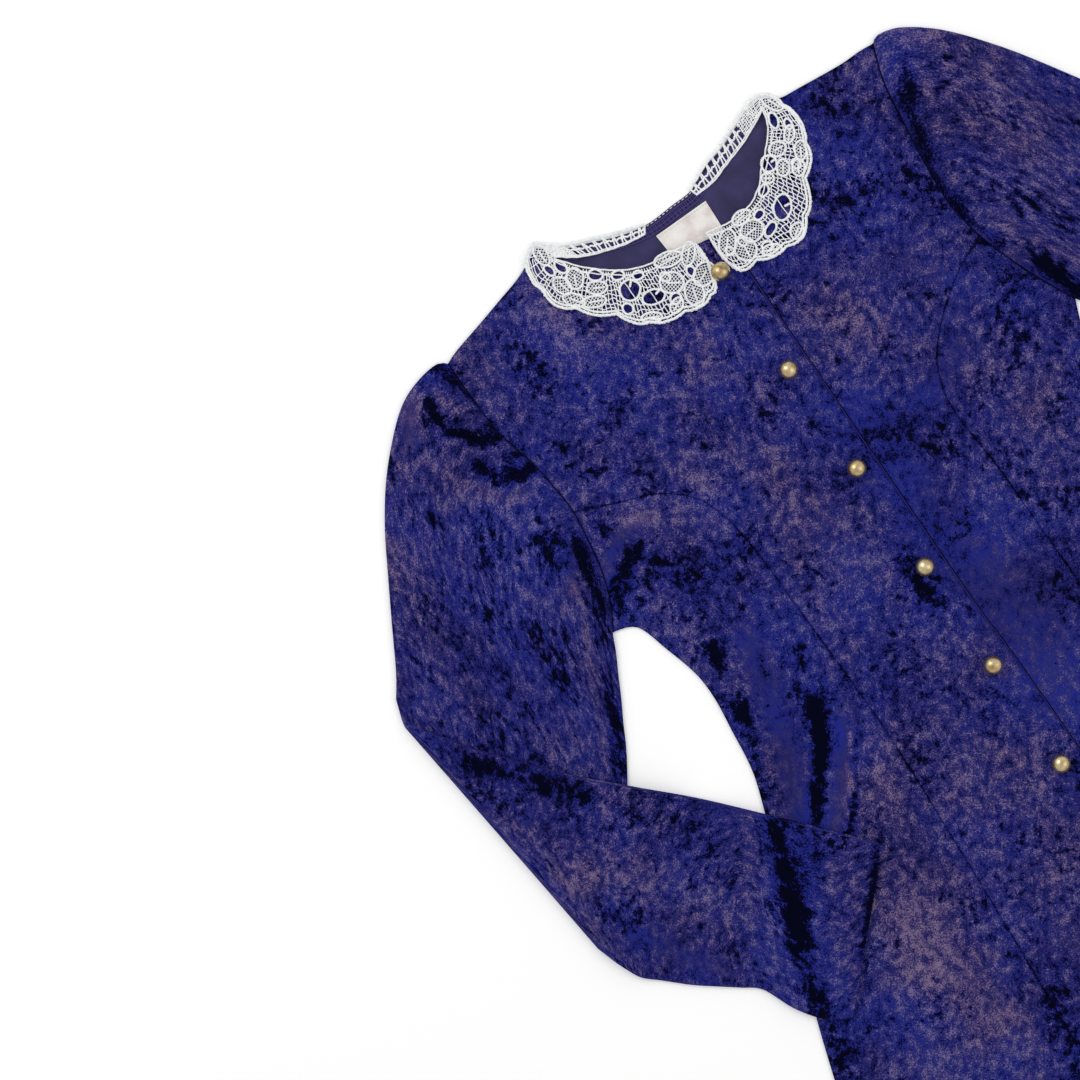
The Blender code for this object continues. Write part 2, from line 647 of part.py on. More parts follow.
class Sleeve:
    """A sleeve pressed flat: a tube of cloth through its rings, open at both ends."""

    def __init__(self, name, rows, armhole, dress):
        self.name = name
        self.rows = rows
        self.dress = dress
        self.armhole = armhole
        self.cover = None

    def curve_at(self, share):
        """Return how far the armhole bows from its chord at a share of its length."""
        start, end = Vector(self.armhole[0]), Vector(self.armhole[-1])
        chord = (end - start).normalized()
        length = (end - start).length
        before = (0.0, 0.0)
        for point in self.armhole:
            step = Vector(point) - start
            here = (step.dot(chord) / length, step.x * chord.y - step.y * chord.x)
            if here[0] >= share and here[0] > before[0]:
                mix = (share - before[0]) / (here[0] - before[0])
                return before[1] + (here[1] - before[1]) * mix
            before = here
        return 0.0

    def elbow_limit(self, x, y):
        """Return how thick the sleeve may be, so that it is thin where it folds."""
        upper, lower = Vector(ELBOW_LINE[0]), Vector(ELBOW_LINE[1])
        line = (lower - upper).normalized()
        away = abs((x - upper.x) * line.y - (y - upper.y) * line.x)
        return SLEEVE_EDGE + max(0.0, away - ELBOW_TURN_GAP - SLEEVE_EDGE) * ELBOW_RISE

    def support(self, x, y):
        """Return the height of what the folded forearm lies on."""
        height = self.dress.top(x, y)
        if inside(self.cover, x, y):
            height = max(height, self.elbow_limit(x, y))
        return height

    def base(self, x, y):
        """Return the height of the folded forearm's underside."""
        upper, lower = Vector(ELBOW_LINE[0]), Vector(ELBOW_LINE[1])
        line = (lower - upper).normalized()
        start = SLEEVE_EDGE + 2 * ELBOW_TURN_GAP
        away = abs((x - upper.x) * line.y - (y - upper.y) * line.x) - start
        lies = lie_over(self.support, x, y, *FOREARM_DRAPE) + ELBOW_TURN_GAP
        return start + (max(lies, 0.0) - start) * smoothstep(away / ELBOW_SETTLE)

    def ring(self, row, inner):
        """Return the points of one ring, of the outer or the inner face of the cloth."""
        width = (row.inner - row.outer).length
        margin = EDGE_ROUND + (CLOTH * 0.75 if inner else 0.0)
        edge = CLOTH if inner else 0.0
        upper = [margin + (width - 2 * margin) * i / (UPPER_COLUMNS - 1)
                 for i in range(UPPER_COLUMNS)]
        lower = [margin + (width - 2 * margin) * i / (LOWER_COLUMNS - 1)
                 for i in range(LOWER_COLUMNS)]
        places = [(edge, "edge")] + [(t, "upper") for t in upper]
        places += [(width - edge, "edge")] + [(t, "lower") for t in reversed(lower)]
        return [self.point(row, t, face, inner, width) for t, face in places]

    def point(self, row, t, face, inner, width):
        """Return one point of a ring at a distance t from the sleeve's outer edge."""
        share = t / width
        chord = (row.inner - row.outer) / width
        flat = row.outer + chord * t
        if row.curve:
            side = Vector((chord.y, -chord.x))
            flat = flat + side * self.curve_at(share) * row.curve
        thick = SLEEVE_EDGE
        thick += (row.height - SLEEVE_EDGE) * (1.0 - abs(2 * share - 1) ** 3)
        if not row.folded and not row.turn and self.cover:
            thick = min(thick, self.elbow_limit(flat.x, flat.y))
        wall_in = CLOTH if inner else 0.0
        level = {"edge": thick / 2, "upper": thick - wall_in, "lower": wall_in}[face]
        if face == "upper" and not inner:
            level += self.gather(row, share)
        if row.turn:
            angle, normal = row.turn
            radius = SLEEVE_EDGE + ELBOW_TURN_GAP - level
            flat = flat + normal * radius * math.sin(angle)
            level = SLEEVE_EDGE + ELBOW_TURN_GAP - radius * math.cos(angle)
        if row.folded:
            level = self.base(flat.x, flat.y) + thick - level
        return (flat.x, flat.y, level)

    @staticmethod
    def gather(row, share):
        """Return how far the gathers of the cap raise the cloth at a share of its width."""
        if not row.gathers or share > GATHERED_SHARE:
            return 0.0
        wave = 0.5 - 0.5 * math.cos(math.tau * GATHERS * share / GATHERED_SHARE)
        return GATHER_HEIGHT * row.gathers * wave

    def make(self, material):
        """Make the sleeve's tube and return its object."""
        tube = bmesh.new()
        outer = [self.verts(tube, row, False) for row in self.rows]
        inner = [self.verts(tube, row, True) for row in self.inner_rows()]
        for first, second in zip(outer, outer[1:]):
            band(tube, first, second)
        for first, second in zip(inner, inner[1:]):
            band(tube, second, first)
        band(tube, inner[0], outer[0])
        band(tube, outer[-1], inner[-1])
        return finish(self.name, tube, material)

    def inner_rows(self):
        """Return the rings of the inner face, which is plainer where the sleeve is straight."""
        last = len(self.rows) - 1
        return [row for index, row in enumerate(self.rows)
                if index % 2 == 0 or index == last or row.turn or row.folded]

    def verts(self, tube, row, inner):
        """Add one ring's points to the tube."""
        return [tube.verts.new(point) for point in self.ring(row, inner)]


def band(tube, first, second):
    """Join two rings of as many points with a band of triangles."""
    count = len(first)
    for index in range(count):
        after = (index + 1) % count
        tube.faces.new((first[index], first[after], second[after], second[index]))


def make_sleeves(dress, velvet):
    """Make the folded right sleeve and the straight left one."""
    upper_rows = table_rows(RIGHT_UPPER_SLEEVE)
    rows = upper_rows + elbow_rows() + table_rows(RIGHT_FOREARM, folded=True)
    folded = Sleeve("sleeve_right", rows, through(RIGHT_ARMHOLE, CAP_SPACING), dress)
    outer = [tuple(row.outer) for row in upper_rows] + [ELBOW_LINE[0]]
    inner = [tuple(row.inner) for row in upper_rows] + [ELBOW_LINE[1]]
    folded.cover = outer + inner[::-1]
    folded.rows[0].outer.x -= SEAM_GAP
    folded.rows[0].inner.x -= SEAM_GAP
    folded.make(velvet)
    straight = Sleeve("sleeve_left", table_rows(LEFT_SLEEVE), through(LEFT_ARMHOLE, CAP_SPACING), dress)
    straight.rows[0].outer.x += SEAM_GAP
    straight.rows[0].inner.x += SEAM_GAP
    straight.make(velvet)


class Collar:
    """Half of the lace collar: a scalloped strip round the neck with gaps cut through it."""

    def __init__(self, name, ribs, gaps, dress):
        self.name = name
        self.ribs = through(ribs, COLLAR_RIB_SPACING)
        self.gap_table = gaps
        self.dress = dress

    def at(self, along, across):
        """Return the place at a share along the collar and a share across it."""
        place = along * (len(self.ribs) - 1)
        index = min(int(place), len(self.ribs) - 2)
        first, second = self.ribs[index], self.ribs[index + 1]
        ix, iy, ox, oy = (a + (b - a) * (place - index) for a, b in zip(first, second))
        return ix + (ox - ix) * across, iy + (oy - iy) * across

    def scallop(self, along):
        """Return how far the edge's scallops reach at a share along the collar."""
        if along < SCALLOPS_START:
            return 0.0
        share = (along - SCALLOPS_START) / (1.0 - SCALLOPS_START)
        wave = abs(math.sin(math.pi * SCALLOPS * share)) ** SCALLOP_BLUNT
        return SCALLOP_DEPTH * (wave - SCALLOP_MIDDLE)

    def outline(self):
        """Return the outline of this half, with its scallops."""
        count = len(self.ribs)
        inner = [self.at(i / (count - 1), 0.0) for i in range(count)]
        outer = []
        for index in range(count):
            along = index / (count - 1)
            ix, iy = self.at(along, 0.0)
            ox, oy = self.at(along, 1.0)
            longer = 1.0 + self.scallop(along) / max(1.0, math.dist((ix, iy), (ox, oy)))
            outer.append((ix + (ox - ix) * longer, iy + (oy - iy) * longer))
        return joined(thinned(inner, COLLAR_EDGE_SPACING),
                      thinned(outer[::-1], COLLAR_EDGE_SPACING))

    def gaps(self):
        """Return the gaps cut through the lace."""
        rings = []
        for x, y, across, along, turn in self.gap_table:
            angle = math.radians(turn)
            ring = []
            for side in range(GAP_SIDES):
                u = 0.5 * across * math.cos(math.tau * side / GAP_SIDES)
                v = 0.5 * along * math.sin(math.tau * side / GAP_SIDES)
                ring.append((x + u * math.cos(angle) - v * math.sin(angle),
                             y + u * math.sin(angle) + v * math.cos(angle)))
            rings.append(ring)
        return rings

    def under(self, x, y):
        """Return the height of the lace's underside."""
        return lie_over(self.dress.top, x, y, *LACE_DRAPE) + SEAM_GAP

    def make(self, material):
        """Make this half of the collar and return its object."""
        return wall(self.name, self.outline(), self.gaps(), LACE_MESH, self.under, LACE,
                    material)


def thinned(line, spacing):
    """Drop points of a line that are closer than a spacing, keeping both ends."""
    kept = [line[0]]
    for point in line[1:-1]:
        if math.dist(point, kept[-1]) >= spacing and math.dist(point, line[-1]) >= spacing:
            kept.append(point)
    return kept + [line[-1]]


def make_button(number, dress, material):
    """Make one ball button, with a small flat foot, standing on the right front."""
    y = -BUTTON_PITCH * number
    radius = BUTTON_DIAMETER / 2
    foot = math.asin(BUTTON_FOOT_RADIUS / radius)
    ball = bmesh.new()
    bmesh.ops.create_uvsphere(ball, u_segments=BUTTON_SEGMENTS, v_segments=BUTTON_RINGS,
                              radius=radius)
    floor = -radius * math.cos(foot)
    for vert in ball.verts:
        vert.co.z = max(vert.co.z, floor)
    low = [vert for vert in ball.verts if vert.co.z < floor + 0.01]
    bmesh.ops.dissolve_verts(ball, verts=[v for v in low if math.hypot(v.co.x, v.co.y) < 0.01])
    height = dress.lap_under(0.0, y) + CLOTH + SEAM_GAP - floor
    bmesh.ops.translate(ball, verts=ball.verts, vec=(0.0, y, height))
    return finish(f"button_{number + 1:02d}", ball, material)


def make_label(material):
    """Make the plain label that lies inside the back of the neck."""
    floor = CLOTH + SEAM_GAP
    return wall("label", inset(list(LABEL_CORNERS), 0.0), [], LABEL_MESH, lambda x, y: floor,
                LABEL_THICKNESS, material)


def centre_on_table():
    """Move every piece so that the dress's box stands on the origin."""
    pieces = list(bpy.context.scene.collection.objects)
    corners = [vert.co for piece in pieces for vert in piece.data.vertices]
    low = Vector([min(corner[axis] for corner in corners) for axis in range(3)])
    high = Vector([max(corner[axis] for corner in corners) for axis in range(3)])
    shift = Vector(((low.x + high.x) / 2, (low.y + high.y) / 2, low.z))
    for piece in pieces:
        for vert in piece.data.vertices:
            vert.co -= shift


def main():
    """Clear the scene and make the dress."""
    for item in list(bpy.data.objects):
        bpy.data.objects.remove(item)
    velvet = finish_material("crushed_velvet", VELVET, 0.55)
    wrong_side = finish_material("velvet_wrong_side", WRONG_SIDE, 0.75)
    lace = finish_material("cotton_lace", WHITE_LACE, 0.85)
    tape = finish_material("label_tape", LABEL_TAPE, 0.6)
    brass = finish_material("antique_brass", OLD_BRASS, 0.3, 1.0)
    dress = Dress()
    make_body(dress, velvet, wrong_side)
    make_sleeves(dress, velvet)
    Collar("collar_right", RIGHT_COLLAR_RIBS, RIGHT_LACE_GAPS, dress).make(lace)
    Collar("collar_left", LEFT_COLLAR_RIBS, LEFT_LACE_GAPS, dress).make(lace)
    make_label(tape)
    for number in range(BUTTON_COUNT):
        make_button(number, dress, brass)
    centre_on_table()


if __name__ == "__main__":
    main()
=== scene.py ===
"""Looks of a long-sleeved crushed velvet dress with a cotton lace collar, laid flat.

Places on the dress are millimetres from the middle of its top button: x across the dress, y up
towards the neck, z up from the table. Right and left are the wearer's, so the right side is
the one at -X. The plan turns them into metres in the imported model's frame.
"""

import logging
import math
from collections.abc import Callable
from dataclasses import dataclass, field
from enum import Enum

import bpy
import numpy as np
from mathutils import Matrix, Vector, noise
from mathutils.geometry import delaunay_2d_cdt

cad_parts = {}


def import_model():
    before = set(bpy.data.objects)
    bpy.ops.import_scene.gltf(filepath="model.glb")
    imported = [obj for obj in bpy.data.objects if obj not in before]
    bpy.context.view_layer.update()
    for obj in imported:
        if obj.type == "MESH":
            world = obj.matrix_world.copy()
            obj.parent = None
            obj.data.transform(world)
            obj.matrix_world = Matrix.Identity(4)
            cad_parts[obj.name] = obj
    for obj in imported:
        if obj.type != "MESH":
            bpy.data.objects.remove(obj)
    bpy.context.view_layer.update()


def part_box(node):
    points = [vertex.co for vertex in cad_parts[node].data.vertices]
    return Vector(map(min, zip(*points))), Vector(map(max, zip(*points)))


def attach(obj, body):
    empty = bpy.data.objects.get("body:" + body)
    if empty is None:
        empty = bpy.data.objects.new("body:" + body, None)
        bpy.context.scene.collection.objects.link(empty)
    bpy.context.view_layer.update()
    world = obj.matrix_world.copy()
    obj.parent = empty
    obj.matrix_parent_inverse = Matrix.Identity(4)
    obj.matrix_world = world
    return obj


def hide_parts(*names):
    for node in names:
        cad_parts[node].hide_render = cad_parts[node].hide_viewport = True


LOG = logging.getLogger("velvet_dress")

Line = list[tuple[float, float]]
Table = tuple[tuple[float, ...], ...]
Heights = Callable[[np.ndarray], np.ndarray]
Strokes = tuple[tuple, ...]
Stops = tuple[tuple[float, str], ...]
Piece = bpy.types.Object
Material = bpy.types.Material
Tree = bpy.types.NodeTree
Node = bpy.types.Node
Socket = bpy.types.NodeSocket

MM = 0.001

# Seams and edges of the dress, each a few points that a smooth curve runs through: (x, y)
RIGHT_SHOULDER: Table = ((-96, 88), (-117, 78), (-138, 72), (-160, 66), (-183, 60), (-193, 56))
LEFT_SHOULDER: Table = ((94, 84), (104, 77), (120, 75), (152, 72), (169, 72), (180, 71))
RIGHT_ARMHOLE: Table = (
    (-193, 56), (-193, 23), (-191, -6), (-184, -36), (-181, -60), (-180, -80),
    (-184, -110), (-190, -135), (-198, -153), (-205, -165),
)
LEFT_ARMHOLE: Table = (
    (180, 71), (171, 45), (166, 12), (162, -20), (160, -50), (162, -68), (165, -83),
    (173, -108), (184, -135), (195, -157),
)
RIGHT_PRINCESS: Table = (
    (-180, -80), (-150, -92), (-122, -104), (-103, -122), (-94, -145), (-90, -180),
    (-88, -260), (-87, -330), (-92, -430), (-99, -540), (-112, -700), (-130, -860), (-148, -1040),
)
LEFT_PRINCESS: Table = (
    (165, -83), (143, -92), (120, -107), (98, -127), (85, -148), (80, -175),
    (83, -228), (84, -322), (90, -430), (98, -540), (112, -700), (130, -860), (148, -1040),
)
BACK_NECK: Table = (
    (-96, 88), (-82, 77), (-62, 69), (-42, 61), (-22, 57), (0, 58), (16, 59), (33, 67),
    (50, 71), (68, 78), (82, 84), (94, 84),
)
RIGHT_FRONT_NECK: Table = (
    (-96, 88), (-91, 76), (-83, 62), (-74, 52), (-64, 43), (-51, 35), (-38, 31),
    (-19, 28), (0, 25), (19, 22),
)
LEFT_FRONT_NECK: Table = (
    (94, 84), (90, 73), (84, 58), (75, 50), (66, 42), (57, 32), (44, 24),
    (20, 22), (0, 23), (-20, 24),
)
LAP_EDGE: Table = ((18, 22), (17, -10), (16, -120), (15, -290), (17, -400), (19, -1040))

# Half width of the body below the underarm: (y, half width)
BODY_SIDE: Table = (
    (-172, 189), (-196, 181), (-222, 174), (-244, 173), (-270, 176), (-300, 180), (-328, 189),
    (-375, 207), (-424, 225), (-472, 243), (-527, 261), (-590, 281), (-660, 303), (-740, 327),
    (-825, 352), (-910, 377), (-1000, 402),
)

# Sections across a sleeve: outer edge, inner edge, height, share of the armhole's curve kept
RIGHT_UPPER_SLEEVE: Table = (
    # outer x, outer y, inner x, inner y, height, curve
    (-193, 56, -205, -165, 3.2, 1.00),
    (-199, 60, -207, -168, 5.6, 0.95),
    (-213, 59, -209, -173, 8.6, 0.80),
    (-231, 53, -213, -181, 9.4, 0.60),
    (-248, 41, -218, -190, 8.8, 0.45),
    (-273, 16, -227, -207, 7.2, 0.25),
    (-294, -12, -235, -221, 6.2, 0.10),
    (-312, -42, -246, -241, 5.4, 0.00),
    (-330, -73, -267, -272, 5.0, 0.00),
    (-346, -101, -296, -308, 4.4, 0.00),
    (-357, -117, -318, -334, 3.8, 0.00),
)
ELBOW_LINE: Table = ((-363, -131), (-339, -350))
RIGHT_FOREARM: Table = (
    # upper x, upper y, lower x, lower y, height, curve
    (-347, -153, -331, -366, 3.3, 0),
    (-331, -176, -326, -375.5, 3.8, 0),
    (-310, -201, -315, -386, 4.4, 0),
    (-284, -232, -300, -400, 5.0, 0),
    (-257, -259, -286, -411, 5.2, 0),
    (-231, -285, -273, -421, 5.2, 0),
    (-204, -314, -261, -431, 5.2, 0),
    (-180, -341, -251, -453, 5.0, 0),
    (-157, -367, -238, -471, 4.6, 0),
    (-134, -394, -221, -482, 4.2, 0),
)
LEFT_SLEEVE: Table = (
    # outer x, outer y, inner x, inner y, height, curve
    (180, 71, 195, -157, 3.2, 1.00),
    (186, 74, 197, -160, 5.6, 0.95),
    (201, 70, 200, -166, 8.6, 0.80),
    (218, 58, 204, -174, 9.4, 0.60),
    (233, 43, 210, -186, 8.8, 0.45),
    (252, 19, 219, -203, 7.2, 0.25),
    (269, -6, 229, -221, 6.2, 0.10),
    (301, -57, 252, -260, 5.4, 0.00),
    (345, -128, 288, -320, 5.2, 0.00),
    (396, -212, 326, -384, 5.2, 0.00),
    (448, -305, 362, -440, 5.0, 0.00),
    (482, -370, 383, -474, 4.8, 0.00),
    (509, -424, 401, -503, 4.2, 0.00),
)

# Ribs across each half of the lace collar, from its end behind the neck, round the neck
# corner and down to the centre front: (inner x, inner y, outer x, outer y)
RIGHT_COLLAR_RIBS: Table = (
    (-28, 52, -24, 58), (-43, 54, -40, 63), (-60, 59, -60, 71), (-75, 65, -81, 80),
    (-89, 75, -96, 91), (-90, 74, -106, 85), (-87, 70, -111, 67), (-80, 61, -106, 46),
    (-71, 52, -92, 30), (-61, 44, -76, 15), (-50, 37, -62, -1), (-38, 33, -43, -8),
    (-26, 31, -25, -11), (-14, 30, -11, -9), (-6, 28, -4, 6), (-3, 26, -2, 21),
)
LEFT_COLLAR_RIBS: Table = (
    (18, 54, 16, 60), (33, 55, 33, 68), (48, 60, 49, 73), (67, 66, 66, 80),
    (86, 75, 84, 86), (89, 77, 97, 84), (88, 70, 105, 70), (84, 62, 105, 52),
    (76, 53, 100, 35), (66, 44, 87, 18), (57, 34, 75, -1), (47, 28, 60, -12),
    (35, 25, 43, -12), (24, 25, 27, -9), (13, 27, 12, -6), (8, 28, 7, 8),
)
RIGHT_LACE_GAPS: Table = (
    # x, y, across, along, turn
    (-97.5, 69.0, 4.2, 8.0, 8), (-89.5, 66.5, 5.2, 9.5, 14), (-73.0, 48.0, 9.0, 6.5, -40),
    (-60.0, 39.0, 7.5, 5.5, -25), (-59.0, 25.5, 13.5, 13.0, 15), (-67.5, 15.5, 5.5, 7.0, 20),
    (-48.0, 12.0, 15.0, 9.0, -15), (-48.5, 30.5, 6.0, 4.4, -30), (-36.0, 2.5, 7.0, 6.0, 30),
    (-33.5, 19.0, 4.6, 5.6, 20), (-16.5, 12.0, 4.4, 6.5, 0),
)
LEFT_LACE_GAPS: Table = (
    # x, y, across, along, turn
    (91.5, 66.0, 5.0, 10.0, -16), (98.5, 58.0, 4.2, 6.5, -10), (71.5, 43.0, 9.5, 10.0, -35),
    (87.0, 32.0, 4.6, 6.0, 0), (58.0, 29.5, 7.5, 5.0, 35), (62.0, 12.5, 11.0, 17.0, -42),
    (45.5, 17.5, 6.5, 4.6, 10), (46.5, 4.5, 9.5, 5.5, 25), (37.5, -4.0, 6.5, 5.5, -20),
    (25.5, 9.0, 4.4, 6.0, 0), (14.0, 8.0, 4.2, 5.0, 20),
)
RIGHT_PETALS: Table = (
    # x, y, length, width, turn
    (-25, 28, 21, 11, 165),
    (-11, 23, 18, 10, 45),
    (-32, 13, 18, 16, 145),
    (-23, -2, 20, 14, 75),
    (-10, 5, 19, 15, 25),
    (-86, 54, 16, 13, 65),
    (-96, 55, 16, 11, 105),
    (-77, 40, 16, 10, 150),
    (-95, 42, 17, 10, 125),
    (-84, 33, 18, 9, 155),
    (-96, 81, 17, 10, 90),
    (-57, 1, 15, 8, 150),
    (-38, -2, 13, 9, 25),
)
LEFT_PETALS: Table = (
    # x, y, length, width, turn
    (82, 48, 13, 11, 175),
    (95, 52, 14, 8, 50),
    (95, 38, 15, 9, 60),
    (78, 35, 13, 10, 55),
    (87, 29, 13, 10, 60),
    (35, 11, 18, 16, 5),
    (16, 14, 20, 13, 50),
    (24, 3, 18, 16, 85),
    (34, 23, 15, 10, 5),
    (98, 77, 18, 10, 115),
    (65, 35, 10, 8, 145),
    (61, -7, 13, 10, 35),
    (39, -8, 15, 9, 155),
)

# Folds, and places where the pile lies another way. Nap and shading is how light it looks: the
# pile's own lie, and along folds painted light on the crests and painted shade in the hollows.
# Calm is how smooth it lies, and warm how mauve it is, or blue where it is negative
FRONT_STROKES: Strokes = (
    # line, reach, rise, nap and shading, calm, warm
    (((-174, -84), (-179, -108), (-186, -129)), 3.5, 1, 0.4, 0, 0.5),
    (((-156, -124), (-182, -138)), 6, -0.8, -0.9, 0, -0.5),
    (((-140, -111), (-161, -112), (-177, -119), (-189, -131)), 4.5, 1.2, 0, 0.95, 0),
    (((-132, -110), (-159, -107), (-178, -113)), 2, 0, 0.45, 0, 0.6),
    (((-141, -120), (-162, -120), (-176, -128)), 2, 0, 0.4, 0, 0.6),
    (((-181, -146), (-194, -155), (-187, -171)), 6, 0, -0.55, 0, -0.6),
    (((-191, -113), (-195, -131), (-196, -143)), 4, -0.8, -0.9, 0, 0),
    (((-140, -104), (-104, -141)), 12, 0.4, 0.3, 0, 0.6),
    (((-28, -26), (-51, -50)), 9, 0, 0.3, 0, 0.4),
    (((-90, -47), (-72, -69)), 14, 0, 0.22, 0, 0.3),
    (((-96, -102), (-96, -122)), 11, 0, 0.28, 0, 0.6),
    (((-64, -95), (-61, -116)), 9, 0, 0.25, 0, 0.3),
    (((-25, -81), (-23, -97)), 9, 0, 0.2, 0, 0.4),
    (((-45, -133), (-51, -162)), 14, 0, 0.25, 0, 0.7),
    (((-121, 22), (-94, -25)), 26, 0, 0, 0, -0.9),
    (((-28, -34), (-6, -64)), 15, 0, 0, 0, -0.8),
    (((-129, 78), (-140, 43)), 22, 0, -0.12, 0, -0.4),
    (((-112, 54), (-116, 27)), 10, 0, 0.2, 0, 0.5),
    (((-116, -285), (-128, -311), (-150, -337), (-170, -364)), 5.5, -1.2, -1.3, 0, -0.6),
    (((-114, -285), (-127, -312), (-149, -338), (-169, -365)), 14, 0, 0.02, 0, -1.2),
    (((-109, -308), (-132, -341), (-160, -371)), 5.5, 1.6, 0, 1, -0.1),
    (((-94, -302), (-120, -333), (-145, -366)), 1.8, 0.5, 0.55, 0, 0.8),
    (((-107, -322), (-121, -338)), 3.5, 0, -0.3, 0, -1),
    (((-132, -356), (-149, -374)), 4, 0, -0.75, 0, -1),
    (((-130, -223), (-147, -288), (-173, -351)), 13, 0.8, -0.02, 0.75, 0.1),
    (((-162, -210), (-167, -259), (-181, -317)), 5, 0, -0.3, 0, -0.4),
    (((-152, -212), (-157, -229)), 4.5, 0, -1, 0, 0),
    (((-159, -256), (-162, -272)), 4.5, 0, -0.9, 0, 0),
    (((-129, -234), (-134, -244)), 3, 0, -0.7, 0, 0),
    (((-107, -249), (-109, -261)), 3.5, 0, -0.8, 0, -1),
    (((-106, -240), (-112, -278)), 15, 0, 0, 0, -1),
    (((-93, -338), (-128, -412), (-153, -480)), 20, 0, 0.28, 0, 1.1),
    (((-60, -357), (-70, -427)), 22, 0, 0.16, 0, 0.6),
    (((-144, -435), (-133, -536)), 28, 0, 0.2, 0, 0.8),
    (((-186, -491), (-196, -535)), 16, 0, -0.05, 0.2, -0.7),
    (((-232, -476), (-245, -514)), 10, 0, -0.4, 0, -1),
    (((27, -145), (23, -261), (26, -382)), 26, 0, -0.08, 0.45, -0.2),
    (((-8, -239), (-7, -274)), 7, 0, -0.55, 0, -0.7),
    (((-8, -239), (-7, -274)), 16, 0, 0, 0, -1),
    (((112, 26), (103, -36)), 30, 0, -0.12, 0, -0.6),
    (((61, -66), (56, -122)), 34, 0, 0.12, 0, 0.6),
    (((112, -59), (127, -112)), 18, 0, 0.02, 0.3, 0.3),
    (((130, -156), (121, -261)), 24, 0, 0.06, 0, 0.2),
    (((72, -154), (107, -140)), 12, 0, -0.05, 0.5, -0.2),
    (((46, -277), (55, -351)), 30, 0, -0.04, 0.35, -0.2),
    (((-41, -183), (-46, -239)), 16, 0, -0.05, 0.3, -0.4),
    (((-22, -400), (-29, -472)), 22, 0, 0.12, 0, 0.5),
    (((-78, -174), (-83, -256)), 16, 0, -0.02, 0.25, 0.1),
    (((-134, -169), (-135, -220)), 14, 0, -0.15, 0, -0.5),
    (((-152, -140), (-148, -177)), 10, 0, -0.3, 0, -0.7),
)
UPPER_SLEEVE_STROKES: Strokes = (
    # line, reach, rise, nap and shading, calm, warm
    (((-214, 48), (-209, 30), (-203, 18), (-195, 16)), 2.2, 2.8, 0.42, 0, 0.5),
    (((-218, 40), (-218, 22), (-203, 1), (-189, -2)), 2.2, 3.2, 0.42, 0, 0.5),
    (((-219, 8), (-210, -13), (-196, -21)), 2.2, 3, 0.42, 0, 0.6),
    (((-236, -9), (-223, -34), (-210, -43), (-188, -46)), 2.6, 3.2, 0.42, 0, 0.7),
    (((-229, -31), (-221, -46), (-203, -53)), 2.2, 1.8, 0.38, 0, 0.7),
    (((-197, -5), (-190, -20)), 4.5, 1.5, 0.35, 0, 0.5),
    (((-224, 46), (-233, 34), (-233, 18)), 1.8, 1.4, 0.35, 0, 0.6),
    (((-199, 49), (-196, 34), (-192, 20)), 3, 2.2, 0.12, 0, 0),
    (((-220, 39), (-221, 24)), 3.6, -1.8, -1.25, 0, 0),
    (((-217, 17), (-209, 3), (-195, -7)), 4.6, -2.8, -1.35, 0, -0.4),
    (((-218, -14), (-210, -27), (-197, -38), (-185, -37)), 5.2, -2.4, -0.95, 0, -0.8),
    (((-196, -21), (-187, -24)), 3.2, -1.6, -1.1, 0, 0),
    (((-210, 20), (-194, 16)), 2.2, -1.6, -0.95, 0, 0),
    (((-196, 4), (-190, -3)), 2.6, -1.2, -0.95, 0, 0),
    (((-229, 37), (-231, 29)), 2.2, -0.8, -0.8, 0, 0),
    (((-198, 43), (-192, 24)), 2.6, -1.5, -0.8, 0, 0),
    (((-200, 60), (-197, 48)), 7, 0, -0.6, 0, -0.4),
    (((-230, 48), (-247, 26)), 5.5, 0.8, -0.02, 0.95, 0.1),
    (((-224, -29), (-213, -46), (-196, -49)), 2.6, -0.6, 0, 0.95, 0.2),
    (((-269, -9), (-256, -10)), 3.2, 0, -0.9, 0, 0),
    (((-265, -24), (-261, -36)), 3.2, 0, -0.9, 0, 0),
    (((-212, -85), (-206, -103), (-222, -106)), 9, 0, -0.55, 0, -1),
    (((-191, -100), (-196, -125), (-200, -146)), 5, -1, -0.9, 0, 0),
    (((-195, -100), (-213, -125)), 5, 0.8, 0.02, 0.7, 0.7),
    (((-237, -47), (-218, -94)), 26, 0, 0.02, 0, -1),
    (((-260, 12), (-238, -12)), 16, 0, 0.08, 0, 0.6),
    (((-208, -152), (-233, -203), (-257, -250)), 6, -0.8, -0.5, 0, -0.3),
    (((-218, -149), (-241, -198), (-263, -242)), 3, 0.8, 0.25, 0.3, 0.6),
    (((-299, -38), (-313, -96)), 20, 0, 0.1, 0, 0.6),
    (((-254, -121), (-255, -171)), 18, 0, -0.15, 0, -0.6),
    (((-308, -100), (-297, -159)), 20, 0, 0.02, 0, 0.2),
    (((-332, -92), (-359, -128)), 6, 0.4, -0.25, 0.3, 0),
)
